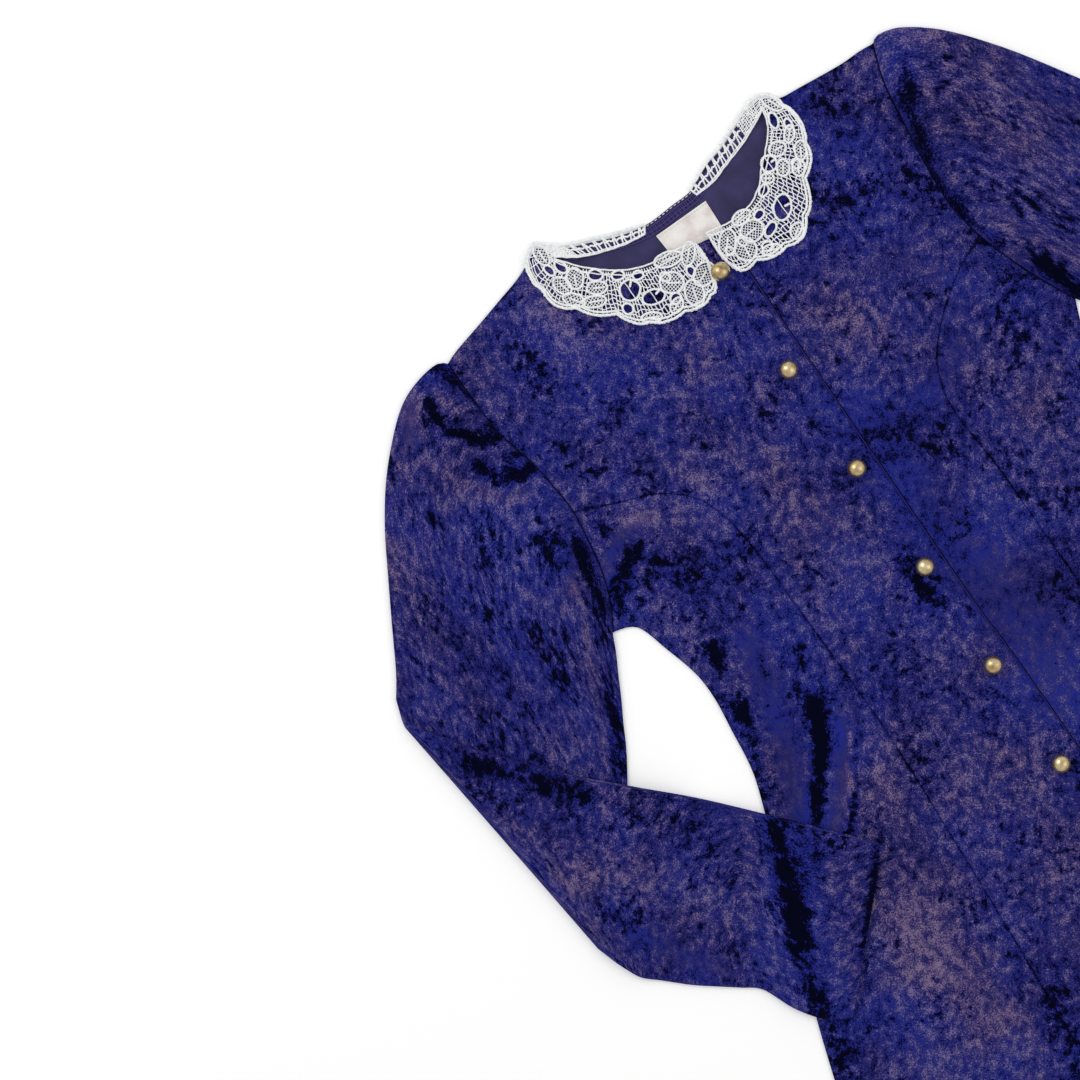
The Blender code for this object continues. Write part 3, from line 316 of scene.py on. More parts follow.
FOREARM_STROKES: Strokes = (
    # line, reach, rise, nap and shading, calm, warm
    (((-340, -184), (-316, -210), (-287, -248)), 8, 0, -0.75, 0, -0.3),
    (((-343, -169), (-337, -216), (-316, -260)), 12, 0, -0.3, 0, 0),
    (((-360, -139), (-332, -173), (-292, -226)), 5, 0, -0.15, 0.4, 0),
    (((-339, -244), (-313, -294)), 22, 0, 0.2, 0, 0.8),
    (((-288, -318), (-260, -351)), 18, 0, 0.12, 0, 0.4),
    (((-187, -342), (-203, -377), (-224, -422), (-236, -466)), 8.5, -1.4, -1, 0, -0.5),
    (((-185, -343), (-201, -379), (-222, -424), (-234, -468)), 19, 0, 0.02, 0, -1),
    (((-139, -394), (-156, -414), (-186, -444)), 2.8, -0.4, -0.9, 0, 0),
    (((-243, -413), (-223, -458)), 15, 0, 0, 0, -1),
    (((-170, -374), (-168, -405)), 11, 0.5, 0.14, 0, 0.2),
    (((-222, -296), (-193, -328)), 10, 0, -0.02, 0.4, 0.3),
    (((-310, -350), (-278, -402)), 12, 0.6, -0.02, 0.5, 0),
    (((-319, -314), (-312, -353)), 10, 0, -0.3, 0, -0.6),
    (((-216, -343), (-232, -374)), 6, 0.8, 0.1, 0.2, 0.1),
    (((-280, -281), (-247, -321)), 10, 0, -0.2, 0, -0.6),
)
LEFT_SLEEVE_STROKES: Strokes = (
    # line, reach, rise, nap and shading, calm, warm
    (((190, 47), (175, 17), (165, -19)), 5, -1.6, -0.7, 0, 0),
    (((200, 43), (187, 12), (181, -21)), 4, 2.4, 0.2, 0, 0.6),
    (((191, 61), (199, 47), (223, 26)), 5, 1.6, -0.35, 0, 0),
    (((172, -28), (173, -63), (184, -91)), 4, 1.6, 0.25, 0, 0.6),
    (((162, -30), (164, -65), (172, -96)), 4, -1.2, -0.6, 0, 0),
    (((188, -122), (199, -153)), 7, -1.6, -1, 0, 0),
    (((175, -104), (184, -152)), 4, 0.8, 0.1, 0.5, 0.3),
    (((211, 34), (238, -86)), 40, 0, 0.05, 0, 0.7),
    (((231, 38), (269, -48)), 16, 0, -0.08, 0.2, 0.2),
    (((204, -37), (212, -111)), 14, 0, -0.2, 0, -0.2),
)
SKIRT_STROKES: Strokes = (
    # line, reach, rise, nap and shading, calm, warm
    (((-62, -520), (-78, -1010)), 24, 2.0, 0.05, 0.2, 0.3),
    (((-135, -500), (-190, -990)), 24, 2.1, 0.05, 0.3, 0.4),
    (((-205, -610), (-290, -960)), 26, 2.2, 0.04, 0.3, 0.2),
    (((-100, -560), (-130, -990)), 12, -0.6, -0.45, 0, -0.8),
    (((-172, -600), (-238, -970)), 12, -0.6, -0.45, 0, -0.8),
    (((62, -430), (92, -1010)), 22, 2.0, 0.05, 0.2, 0.3),
    (((122, -330), (196, -990)), 24, 2.1, 0.05, 0.3, 0.4),
    (((170, -350), (306, -960)), 26, 2.2, 0.04, 0.3, 0.2),
    (((92, -460), (140, -980)), 12, -0.6, -0.4, 0, -0.8),
    (((150, -430), (250, -970)), 12, -0.6, -0.4, 0, -0.8),
)

# The areas that the lace and the folded forearm are draped over: a low and a high corner, mm
COLLAR_AREA = ((-130.0, -32.0), (125.0, 112.0))
FOREARM_AREA = ((-420.0, -560.0), (-60.0, -90.0))


class Slot(Enum):
    """Names of the dress's material slots."""

    VELVET = "crushed_velvet"
    WRONG_SIDE = "velvet_wrong_side"
    LACE = "cotton_lace"
    TAPE = "label_tape"
    BRASS = "antique_brass"


def smoothstep(value: np.ndarray) -> np.ndarray:
    """Rise softly from 0 to 1 as value goes from 0 to 1."""
    value = np.clip(value, 0.0, 1.0)
    return value * value * (3.0 - 2.0 * value)


def between(before: tuple, start: tuple, end: tuple, after: tuple, share: float) -> tuple:
    """Return the Catmull-Rom point at `share` of the way from start to end."""
    point = []
    for a, b, c, d in zip(before, start, end, after):
        bend = 2 * b + (c - a) * share + (2 * a - 5 * b + 4 * c - d) * share ** 2
        point.append(0.5 * (bend + (3 * b - a - 3 * c + d) * share ** 3))
    return tuple(point)


def through(points: Table | Line, spacing: float) -> list[tuple]:
    """Return points about `spacing` apart on a smooth curve through the given ones."""
    ends = [points[0]] + list(points) + [points[-1]]
    curve = []
    for before, start, end, after in zip(ends, ends[1:], ends[2:], ends[3:]):
        steps = max(1, round(math.dist(start[:2], end[:2]) / spacing))
        for step in range(steps):
            curve.append(between(before, start, end, after, step / steps))
    curve.append(tuple(float(value) for value in points[-1]))
    return curve


def joined(*lines: Line) -> Line:
    """Join lines end to end into one outline, with no point twice."""
    outline: Line = []
    for line in lines:
        for x, y in line:
            if not outline or math.dist(outline[-1], (x, y)) > 0.4:
                outline.append((float(x), float(y)))
    if math.dist(outline[0], outline[-1]) < 0.4:
        outline.pop()
    return outline


def signed_area(outline: Line) -> float:
    """Return the outline's area, positive when it runs anticlockwise."""
    pairs = zip(outline, outline[1:] + outline[:1])
    return 0.5 * sum(a[0] * b[1] - b[0] * a[1] for a, b in pairs)


def inset(outline: Line, distance: float) -> Line:
    """Move a closed outline inwards by a distance, and return it anticlockwise."""
    if signed_area(outline) < 0:
        outline = outline[::-1]
    moved = []
    for index, (x, y) in enumerate(outline):
        ax, ay = outline[index - 1]
        bx, by = outline[(index + 1) % len(outline)]
        first = Vector((ay - y, x - ax)).normalized()
        second = Vector((y - by, bx - x)).normalized()
        normal = first + second
        reach = distance * 2.0 / max(normal.length_squared, 0.5)
        moved.append((x + normal.x * reach, y + normal.y * reach))
    return moved


def inside(outline: Line, spots: np.ndarray) -> np.ndarray:
    """Say which spots are inside a closed outline."""
    hit = np.zeros(len(spots), bool)
    x, y = spots[:, 0], spots[:, 1]
    for (ax, ay), (bx, by) in zip(outline, outline[1:] + outline[:1]):
        if ay != by:
            hit ^= ((ay > y) != (by > y)) & (x < ax + (y - ay) * (bx - ax) / (by - ay))
    return hit


def nearest(line: Line, spots: np.ndarray) -> tuple[np.ndarray, np.ndarray]:
    """Measure spots from an open line.

    Args:
        line: The line's points.
        spots: Places, one row each.

    Returns:
        Each spot's distance to the line, and its share of the line's length.
    """
    points = np.array([point[:2] for point in line], float)
    steps = np.diff(points, axis=0)
    lengths = np.maximum(np.hypot(steps[:, 0], steps[:, 1]), 1e-6)
    starts = np.concatenate(([0.0], np.cumsum(lengths)))
    best = np.full(len(spots), np.inf)
    share = np.zeros(len(spots))
    for point, step, length, start in zip(points, steps, lengths, starts):
        away = spots - point
        along = np.clip(away @ step / length ** 2, 0.0, 1.0)
        gap = np.hypot(away[:, 0] - along * step[0], away[:, 1] - along * step[1])
        closer = gap < best
        best[closer] = gap[closer]
        share[closer] = (start + along[closer] * length) / starts[-1]
    return best, share


def waves(spots: np.ndarray, size: float, seed: float) -> np.ndarray:
    """Return soft random waves about `size` mm across, from -1 to 1."""
    scaled = np.column_stack([spots / size, np.full(len(spots), seed)])
    return np.array([noise.noise(Vector(spot)) for spot in scaled])


def ripple(spots: np.ndarray, rows: Table) -> np.ndarray:
    """Return the cloth's soft unevenness: for each row its height, its size and its seed."""
    return sum(height * waves(spots, size, seed) for height, size, seed in rows)


@dataclass(frozen=True)
class Stroke:
    """A fold of the cloth, or a place where its pile lies another way. Its nap and shading
    paints light on a fold's crest and shade in its hollow, besides the pile's own lie.
    """

    line: Line
    reach: float
    rise: float
    nap_and_shading: float
    calm: float
    warm: float

    def weigh(self, spots: np.ndarray) -> tuple[np.ndarray, np.ndarray]:
        """Return how strongly the stroke marks each spot, and how high it lifts it."""
        distance, share = nearest(self.line, spots)
        mark = np.exp(-((distance / self.reach) ** 2))
        ends = smoothstep(share * 5.0) * smoothstep((1.0 - share) * 5.0)
        return mark, mark * ends * self.rise


class Brushwork:
    """The strokes on one side of a piece of velvet."""

    def __init__(self, rows: Strokes) -> None:
        """Read a table of strokes."""
        self.strokes = [Stroke(list(line), *values) for line, *values in rows]

    def at(self, spots: np.ndarray) -> tuple[np.ndarray, np.ndarray]:
        """Return the folds' rise at each spot, and its nap with painted shading, calm and warmth.
        """
        rise = np.zeros(len(spots))
        brush_and_shading = np.zeros((len(spots), 3))
        for stroke in self.strokes:
            mark, lift = stroke.weigh(spots)
            rise += lift
            brush_and_shading += mark[:, None] * np.array([stroke.nap_and_shading, stroke.calm, stroke.warm])
        return rise, brush_and_shading


@dataclass
class DressPlan:
    """The outlines of the dress's panels, and the heights that they lie at.

    Args:
        origin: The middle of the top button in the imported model's frame, in metres.
    """

    origin: Vector
    length: float = 1000.0
    hem_radius: float = 1150.0
    cloth: float = 1.2
    seam_gap: float = 0.3
    lap_gap: float = 0.5
    loft: float = 1.4
    loft_reach: float = 45.0
    highest: float = 5.4
    edge_reach: float = 10.0
    ripples: Table = ((0.35, 46.0, 3.1), (0.16, 17.0, 7.7))
    placket: float = 34.0
    placket_reach: float = 26.0
    underlap_x: float = -20.0
    underlap: tuple[float, float] = (24.0, -1040.0)
    lap_ramp: tuple[float, float] = (-62.0, -36.0)
    spacing: float = 3.6
    panels: dict[str, Line] = field(default_factory=dict)

    def __post_init__(self) -> None:
        """Work out the seams and the outlines."""
        self.right_armhole = through(RIGHT_ARMHOLE, self.spacing)
        self.left_armhole = through(LEFT_ARMHOLE, self.spacing)
        self.right_shoulder = through(RIGHT_SHOULDER, self.spacing)
        self.left_shoulder = through(LEFT_SHOULDER, self.spacing)
        self.right_side = self.side(-1, RIGHT_ARMHOLE[-1])
        self.left_side = self.side(1, LEFT_ARMHOLE[-1])
        self.right_edge = joined(self.right_shoulder, self.right_armhole, self.right_side)
        self.left_edge = joined(self.left_shoulder, self.left_armhole, self.left_side)
        self.front_strokes = Brushwork(FRONT_STROKES + SKIRT_STROKES)
        self.outline = self.back_outline()
        self.panels = self.front_outlines()

    def hem_y(self, x: float) -> float:
        """Return the height of the hem at x."""
        return self.hem_radius - self.length - math.sqrt(self.hem_radius ** 2 - x * x)

    def above_hem(self, line: Line) -> Line:
        """Cut a line that runs down the dress where it meets the hem."""
        kept = []
        for (ax, ay), (bx, by) in zip(line, line[1:]):
            kept.append((ax, ay))
            if by <= self.hem_y(bx):
                start = ay - self.hem_y(ax)
                x = ax + (bx - ax) * start / (start - (by - self.hem_y(bx)))
                return kept + [(x, self.hem_y(x))]
        return kept + [line[-1]]

    def hem_between(self, start_x: float, end_x: float) -> Line:
        """Return points along the hem from one x to another."""
        steps = max(2, round(abs(end_x - start_x) / self.spacing))
        xs = [start_x + (end_x - start_x) * step / steps for step in range(steps + 1)]
        return [(x, self.hem_y(x)) for x in xs]

    def side(self, sign: int, underarm: tuple[float, ...]) -> Line:
        """Return a side seam from the underarm to the hem."""
        rows = [(sign * half, y) for y, half in BODY_SIDE]
        start = [(float(underarm[0]), float(underarm[1]))]
        return self.above_hem(through(start + rows, self.spacing))

    def back_outline(self) -> Line:
        """Return the outline of the whole body."""
        hem = self.hem_between(self.right_side[-1][0], self.left_side[-1][0])
        return joined(
            through(BACK_NECK, self.spacing)[::-1], self.right_shoulder, self.right_armhole,
            self.right_side, hem, self.left_side[::-1], self.left_armhole[::-1],
            self.left_shoulder[::-1],
        )

    def front_outlines(self) -> dict[str, Line]:
        """Return the outlines of the four front panels by name."""
        right_seam = self.above_hem(through(RIGHT_PRINCESS, self.spacing))
        left_seam = self.above_hem(through(LEFT_PRINCESS, self.spacing))
        right_upper, right_lower = split(self.right_armhole, RIGHT_PRINCESS[0])
        left_upper, left_lower = split(self.left_armhole, LEFT_PRINCESS[0])
        lap = self.above_hem(through(LAP_EDGE, self.spacing))
        under_line = [(self.underlap_x, y) for y in self.underlap]
        under = self.above_hem(through(under_line, self.spacing))
        return {
            "front_side_right": joined(
                right_seam, self.hem_between(right_seam[-1][0], self.right_side[-1][0]),
                self.right_side[::-1], right_lower[::-1],
            ),
            "front_centre_right": joined(
                self.right_shoulder, right_upper, right_seam,
                self.hem_between(right_seam[-1][0], lap[-1][0]), lap[::-1],
                through(RIGHT_FRONT_NECK, self.spacing)[::-1],
            ),
            "front_side_left": joined(
                left_seam, self.hem_between(left_seam[-1][0], self.left_side[-1][0]),
                self.left_side[::-1], left_lower[::-1],
            ),
            "front_centre_left": joined(
                self.left_shoulder, left_upper, left_seam,
                self.hem_between(left_seam[-1][0], under[-1][0]), under[::-1],
                through(LEFT_FRONT_NECK, self.spacing)[::-1],
            ),
        }

    def front_top(self, spots: np.ndarray, lapped: bool) -> np.ndarray:
        """Return the height of the front's upper face.

        Args:
            spots: Places on the front, in mm.
            lapped: Whether the panel is the right front, which laps over the left one.

        Returns:
            One height for each spot, in mm.
        """
        right, _ = nearest(self.right_edge, spots)
        left, _ = nearest(self.left_edge, spots)
        full = smoothstep(np.minimum(right, left) / self.loft_reach)
        near_edge = smoothstep(np.minimum(right, left) / self.edge_reach)
        rise, _ = self.front_strokes.at(spots)
        away = smoothstep((np.abs(spots[:, 0]) - self.placket) / self.placket_reach)
        lift = full * self.loft + near_edge * away * (rise + ripple(spots, self.ripples))
        under = np.minimum(self.highest, self.cloth + self.seam_gap + np.maximum(lift, 0.0))
        if lapped:
            start, end = self.lap_ramp
            under += (self.cloth + self.lap_gap) * smoothstep((spots[:, 0] - start) / (end - start))
        return under + self.cloth

    def top(self, spots: np.ndarray) -> np.ndarray:
        """Return the height of the uppermost cloth of the body, 0 beside it."""
        heights = np.where(inside(self.outline, spots), self.cloth, 0.0)
        for name, outline in self.panels.items():
            hit = inside(outline, spots)
            if hit.any():
                top = self.front_top(spots[hit], name == "front_centre_right")
                heights[hit] = np.maximum(heights[hit], top)
        return heights

    def place(self, points: np.ndarray) -> np.ndarray:
        """Turn rows of x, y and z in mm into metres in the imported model's frame."""
        return points * MM + np.array([self.origin.x, self.origin.y, 0.0])


def split(line: Line, at: tuple[float, ...]) -> tuple[Line, Line]:
    """Cut a line in two at the point nearest to a place."""
    place = min(range(len(line)), key=lambda i: math.dist(line[i], at[:2]))
    return line[:place + 1], line[place:]


class HeightField:
    """Heights kept on a fine grid, so that cloth and lace can be draped over them."""

    def __init__(self, heights: Heights, low: tuple, high: tuple, step: float = 2.5) -> None:
        """Sample a height function on a grid between two corners."""
        self.low, self.step = np.array(low, float), step
        xs = np.arange(low[0], high[0] + step, step)
        ys = np.arange(low[1], high[1] + step, step)
        grid = np.stack(np.meshgrid(xs, ys, indexing="ij"), axis=-1)
        self.values = heights(grid.reshape(-1, 2)).reshape(grid.shape[:2])

    def sample(self, spots: np.ndarray) -> np.ndarray:
        """Return the height at each spot, between the grid's points."""
        place = (spots - self.low) / self.step
        limit = np.array(self.values.shape) - 1.001
        place = np.clip(place, 0.0, limit)
        cell = place.astype(int)
        (i, j), (u, v) = cell.T, (place - cell).T
        grid = self.values
        near = grid[i, j] * (1 - u) + grid[i + 1, j] * u
        far = grid[i, j + 1] * (1 - u) + grid[i + 1, j + 1] * u
        return near * (1 - v) + far * v

    def drape(self, flat: float, slope: float, reach: float, directions: int = 24) -> None:
        """Raise the field to a cloth that lies over it.

        Args:
            flat: How far the cloth stays level round what holds it up, in mm.
            slope: How fast it falls away from there.
            reach: How far away it still rests on it, in mm.
            directions: How many ways round each place are felt.
        """
        shape = self.values.shape
        xs = self.low[0] + self.step * np.arange(shape[0])
        ys = self.low[1] + self.step * np.arange(shape[1])
        spots = np.stack(np.meshgrid(xs, ys, indexing="ij"), axis=-1).reshape(-1, 2)
        best = self.values.reshape(-1).copy()
        ring = min(self.step, flat / 2)
        while ring <= reach:
            fall = slope * max(0.0, ring - flat)
            for step in range(directions):
                angle = math.tau * step / directions
                away = ring * np.array([math.cos(angle), math.sin(angle)])
                best = np.maximum(best, self.sample(spots + away) - fall)
            ring += self.step
        self.values = best.reshape(shape)

    def soften(self, times: int) -> None:
        """Smooth the field, each time with its four neighbours."""
        for _ in range(times):
            padded = np.pad(self.values, 1, mode="edge")
            around = padded[2:, 1:-1] + padded[:-2, 1:-1] + padded[1:-1, 2:] + padded[1:-1, :-2]
            self.values = 0.5 * self.values + 0.125 * around


def placed(name: str, data: bpy.types.ID) -> Piece:
    """Put new data into the scene as an object at the origin."""
    made = bpy.data.objects.new(name, data)
    bpy.context.scene.collection.objects.link(made)
    return made


@dataclass
class Cloth:
    """Points and faces of one piece of cloth, in mm, before it is made a mesh."""

    spots: list = field(default_factory=list)
    faces: list = field(default_factory=list)
    finishes: list = field(default_factory=list)
    cloth_map: list = field(default_factory=list)
    brush_and_shading: list = field(default_factory=list)

    def add(self, points: np.ndarray, cloth_map: np.ndarray, brush_and_shading: np.ndarray) -> int:
        """Add points with their place on the flat cloth and their brushing, which holds painted
        shading.

        Returns:
            The number of the first new point.
        """
        first = sum(len(rows) for rows in self.spots)
        self.spots.append(points)
        self.cloth_map.append(cloth_map)
        self.brush_and_shading.append(brush_and_shading)
        return first

    def fill(self, faces: list[tuple[int, ...]], finish: int) -> None:
        """Add faces that all have one finish."""
        self.faces.extend(faces)
        self.finishes.extend([finish] * len(faces))

    def shell(self, spots: np.ndarray, heights: tuple[np.ndarray, np.ndarray],
              maps: tuple[np.ndarray, np.ndarray], faces: list[tuple[int, ...]],
              finishes: tuple[int, int]) -> None:
        """Add a flat shell with its rim.

        Args:
            spots: Its points, x and y.
            heights: The heights of its upper and its under face at the points.
            maps: The points' places on the flat cloth, and their brushing with painted shading.
            faces: The faces between the points, seen from above.
            finishes: Which finish the upper face and the under face have.
        """
        upper, lower = (self.add(np.column_stack([spots, level]), *maps) for level in heights)
        self.fill([tuple(upper + k for k in face) for face in faces], finishes[0])
        self.fill([tuple(lower + k for k in face[::-1]) for face in faces], finishes[1])
        self.fill(rim(faces, upper, lower), 0)

    def make(self, name: str, plan: DressPlan, finishes: list[Material],
             sharp: float = 50.0) -> Piece:
        """Make the mesh and its object.

        Args:
            name: The piece's name.
            plan: The plan that places it.
            finishes: Its materials, in the order that the faces name them.
            sharp: Edges that turn by more degrees than this stay sharp.

        Returns:
            The finished piece, at the origin.
        """
        mesh = bpy.data.meshes.new(name)
        spots = plan.place(np.concatenate(self.spots))
        mesh.from_pydata(spots.tolist(), [], self.faces)
        mesh.polygons.foreach_set("material_index", self.finishes)
        flat = np.concatenate(self.cloth_map) * MM
        corners = np.empty(len(mesh.loops), dtype=np.int32)
        mesh.loops.foreach_get("vertex_index", corners)
        layer = mesh.uv_layers.new(name="cloth")
        layer.data.foreach_set("uv", flat[corners].ravel().astype(np.float32))
        # The pile's brushing, with painted light and shade of folds and seams in its first value
        brush_and_shading = mesh.attributes.new("brush_and_shading", "FLOAT_VECTOR", "POINT")
        brush_and_shading.data.foreach_set("vector", np.concatenate(self.brush_and_shading).ravel().astype(np.float32))
        mesh.shade_smooth()
        mesh.set_sharp_from_angle(angle=math.radians(sharp))
        for finish in finishes:
            mesh.materials.append(finish)
        mesh.validate()
        return placed(name, mesh)


def triangulate(outline: Line, loose: np.ndarray) -> tuple[np.ndarray, list[tuple[int, ...]]]:
    """Fill an outline with triangles.

    Args:
        outline: The closed outline, anticlockwise.
        loose: Points inside it, one row each.

    Returns:
        All the points, and the triangles as rows of point numbers.
    """
    points = [Vector(point) for point in outline] + [Vector(spot) for spot in loose]
    edges = [(i, (i + 1) % len(outline)) for i in range(len(outline))]
    found = delaunay_2d_cdt(points, edges, [], 0, 1e-5)
    spots = np.array([tuple(spot) for spot in found[0]])
    rows = np.array([face for face in found[2] if len(face) == 3])
    kept = inside(outline, spots[rows].mean(axis=1))
    return spots, [tuple(int(i) for i in row) for row in rows[kept]]


def spread(outline: Line, step: float, clear: float) -> np.ndarray:
    """Return a staggered grid of points inside an outline, clear of its edge."""
    low, high = np.min(outline, axis=0), np.max(outline, axis=0)
    rise = step * math.sqrt(0.75)
    rows = []
    for row, y in enumerate(np.arange(low[1] + rise / 2, high[1], rise)):
        xs = np.arange(low[0] + (0.5 if row % 2 else 1.0) * step, high[0], step)
        rows.append(np.column_stack([xs, np.full(len(xs), y)]))
    spots = np.concatenate(rows)
    spots = spots[inside(outline, spots)]
    distance, _ = nearest(outline + outline[:1], spots)
    return spots[distance > clear]


@dataclass
class FrontPanels:
    """The four velvet panels of the front, joined by the princess seams and the lap."""

    plan: DressPlan
    step: float = 3.9
    edge_clear: float = 3.2
    edge_rings: tuple[float, float] = (0.9, 2.1)
    edge_roll: float = 0.6
    seam_dip: float = 0.35
    seam_reach: float = 4.0
    seam_painted_shade: float = -0.5
    seam_shade_width: float = 0.6
    crush_turn: float = 32.0

    def build(self, velvet: Material, wrong: Material) -> list:
        return [self.panel(name, outline, velvet, wrong)
                for name, outline in self.plan.panels.items()]

    def spots(self, outline: Line) -> np.ndarray:
        """Return the points inside a panel: two rings along its edge, and a fine grid."""
        rings = [np.array(inset(outline, distance)) for distance in self.edge_rings]
        loose = []
        for distance, ring in zip(self.edge_rings, rings):
            away, _ = nearest(outline + outline[:1], ring)
            loose.append(ring[inside(outline, ring) & (away > 0.8 * distance)])
        return np.concatenate(loose + [spread(outline, self.step, self.edge_clear)])

    def panel(self, name: str, outline: Line, velvet: Material, wrong: Material) -> Piece:
        """Make one panel as a thin shell, with its edges turned down into the seams and painted
        shade along them.

        Args:
            name: The panel's name in the plan.
            outline: Its outline, in mm.
            velvet: The finish of its upper face.
            wrong: The finish of its under face.

        Returns:
            The finished panel.
        """
        outline = inset(outline, self.plan.seam_gap / 2)
        spots, triangles = triangulate(outline, self.spots(outline))
        edge, _ = nearest(outline + outline[:1], spots)
        top = self.plan.front_top(spots, name == "front_centre_right")
        _, brush_and_shading = self.plan.front_strokes.at(spots)
        # Painted shade: a thin dark line along every panel edge, standing for the shade in the
        # seam's groove
        brush_and_shading[:, 0] += self.seam_painted_shade * np.exp(-((edge / self.seam_shade_width) ** 2))
        dip = self.edge_roll * (1.0 - smoothstep(edge / self.edge_rings[1]))
        dip += self.seam_dip * np.exp(-((edge / self.seam_reach) ** 2))
        under = top - self.plan.cloth
        face = np.maximum(top - dip, under + 0.3)
        cloth = Cloth()
        flat = turned(spots, self.crush_turn)
        cloth.shell(spots, (face, under), (flat, brush_and_shading), triangles, (0, 1))
        piece = cloth.make(f"velvet_{name}", self.plan, [velvet, wrong])
        declare(piece, Slot.VELVET, name)
        abs(signed_area(outline)) * MM * MM
        return piece


def turned(spots: np.ndarray, degrees: float) -> np.ndarray:
    """Return the spots turned about the top button."""
    turn = math.radians(degrees)
    x, y = spots[:, 0], spots[:, 1]
    return np.column_stack([x * math.cos(turn) - y * math.sin(turn),
                            x * math.sin(turn) + y * math.cos(turn)])


def declare(piece: Piece, slot: Slot, *nodes: str) -> Piece:
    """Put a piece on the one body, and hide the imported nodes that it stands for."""
    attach(piece, "root")
    if nodes:
        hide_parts(*nodes)
    LOG.info("%s: %d faces", piece.name, len(piece.data.polygons))
    return piece


def rim(triangles: list[tuple[int, ...]], upper: int, lower: int) -> list[tuple[int, ...]]:
    """Return the faces that close a sheet's edge, between its two faces' points."""
    sides = {(a, b) for face in triangles for a, b in zip(face, face[1:] + face[:1])}
    return [(lower + a, lower + b, upper + b, upper + a)
            for a, b in sides if (b, a) not in sides]


@dataclass
class BackPanel:
    """The back, which lies on the table with its right side down, and shows inside the neck."""

    plan: DressPlan
    step: float = 9.0

    def build(self, velvet: Material, wrong: Material) -> Piece:
        outline = inset(self.plan.outline, self.plan.seam_gap / 2)
        spots, triangles = triangulate(outline, spread(outline, self.step, self.step / 2))
        edge, _ = nearest(outline + outline[:1], spots)
        brush_and_shading = np.zeros((len(spots), 3))
        top = self.plan.cloth - 0.4 * (1.0 - smoothstep(edge / 1.5))
        cloth = Cloth()
        cloth.shell(spots, (top, np.zeros(len(spots))), (spots, brush_and_shading), triangles, (1, 0))
        piece = cloth.make("velvet_back", self.plan, [velvet, wrong])
        declare(piece, Slot.WRONG_SIDE, "back")
        abs(signed_area(outline)) * MM * MM
        return piece


class Way(Enum):
    """How a ring of a sleeve lies."""

    FLAT = "flat"
    TURNING = "turning"
    FOLDED = "folded"


@dataclass
class Ring:
    """One ring round a sleeve: its two edges, how high it stands and how it lies."""

    outer: np.ndarray
    inner: np.ndarray
    height: float
    curve: float
    way: Way = Way.FLAT
    angle: float = 0.0


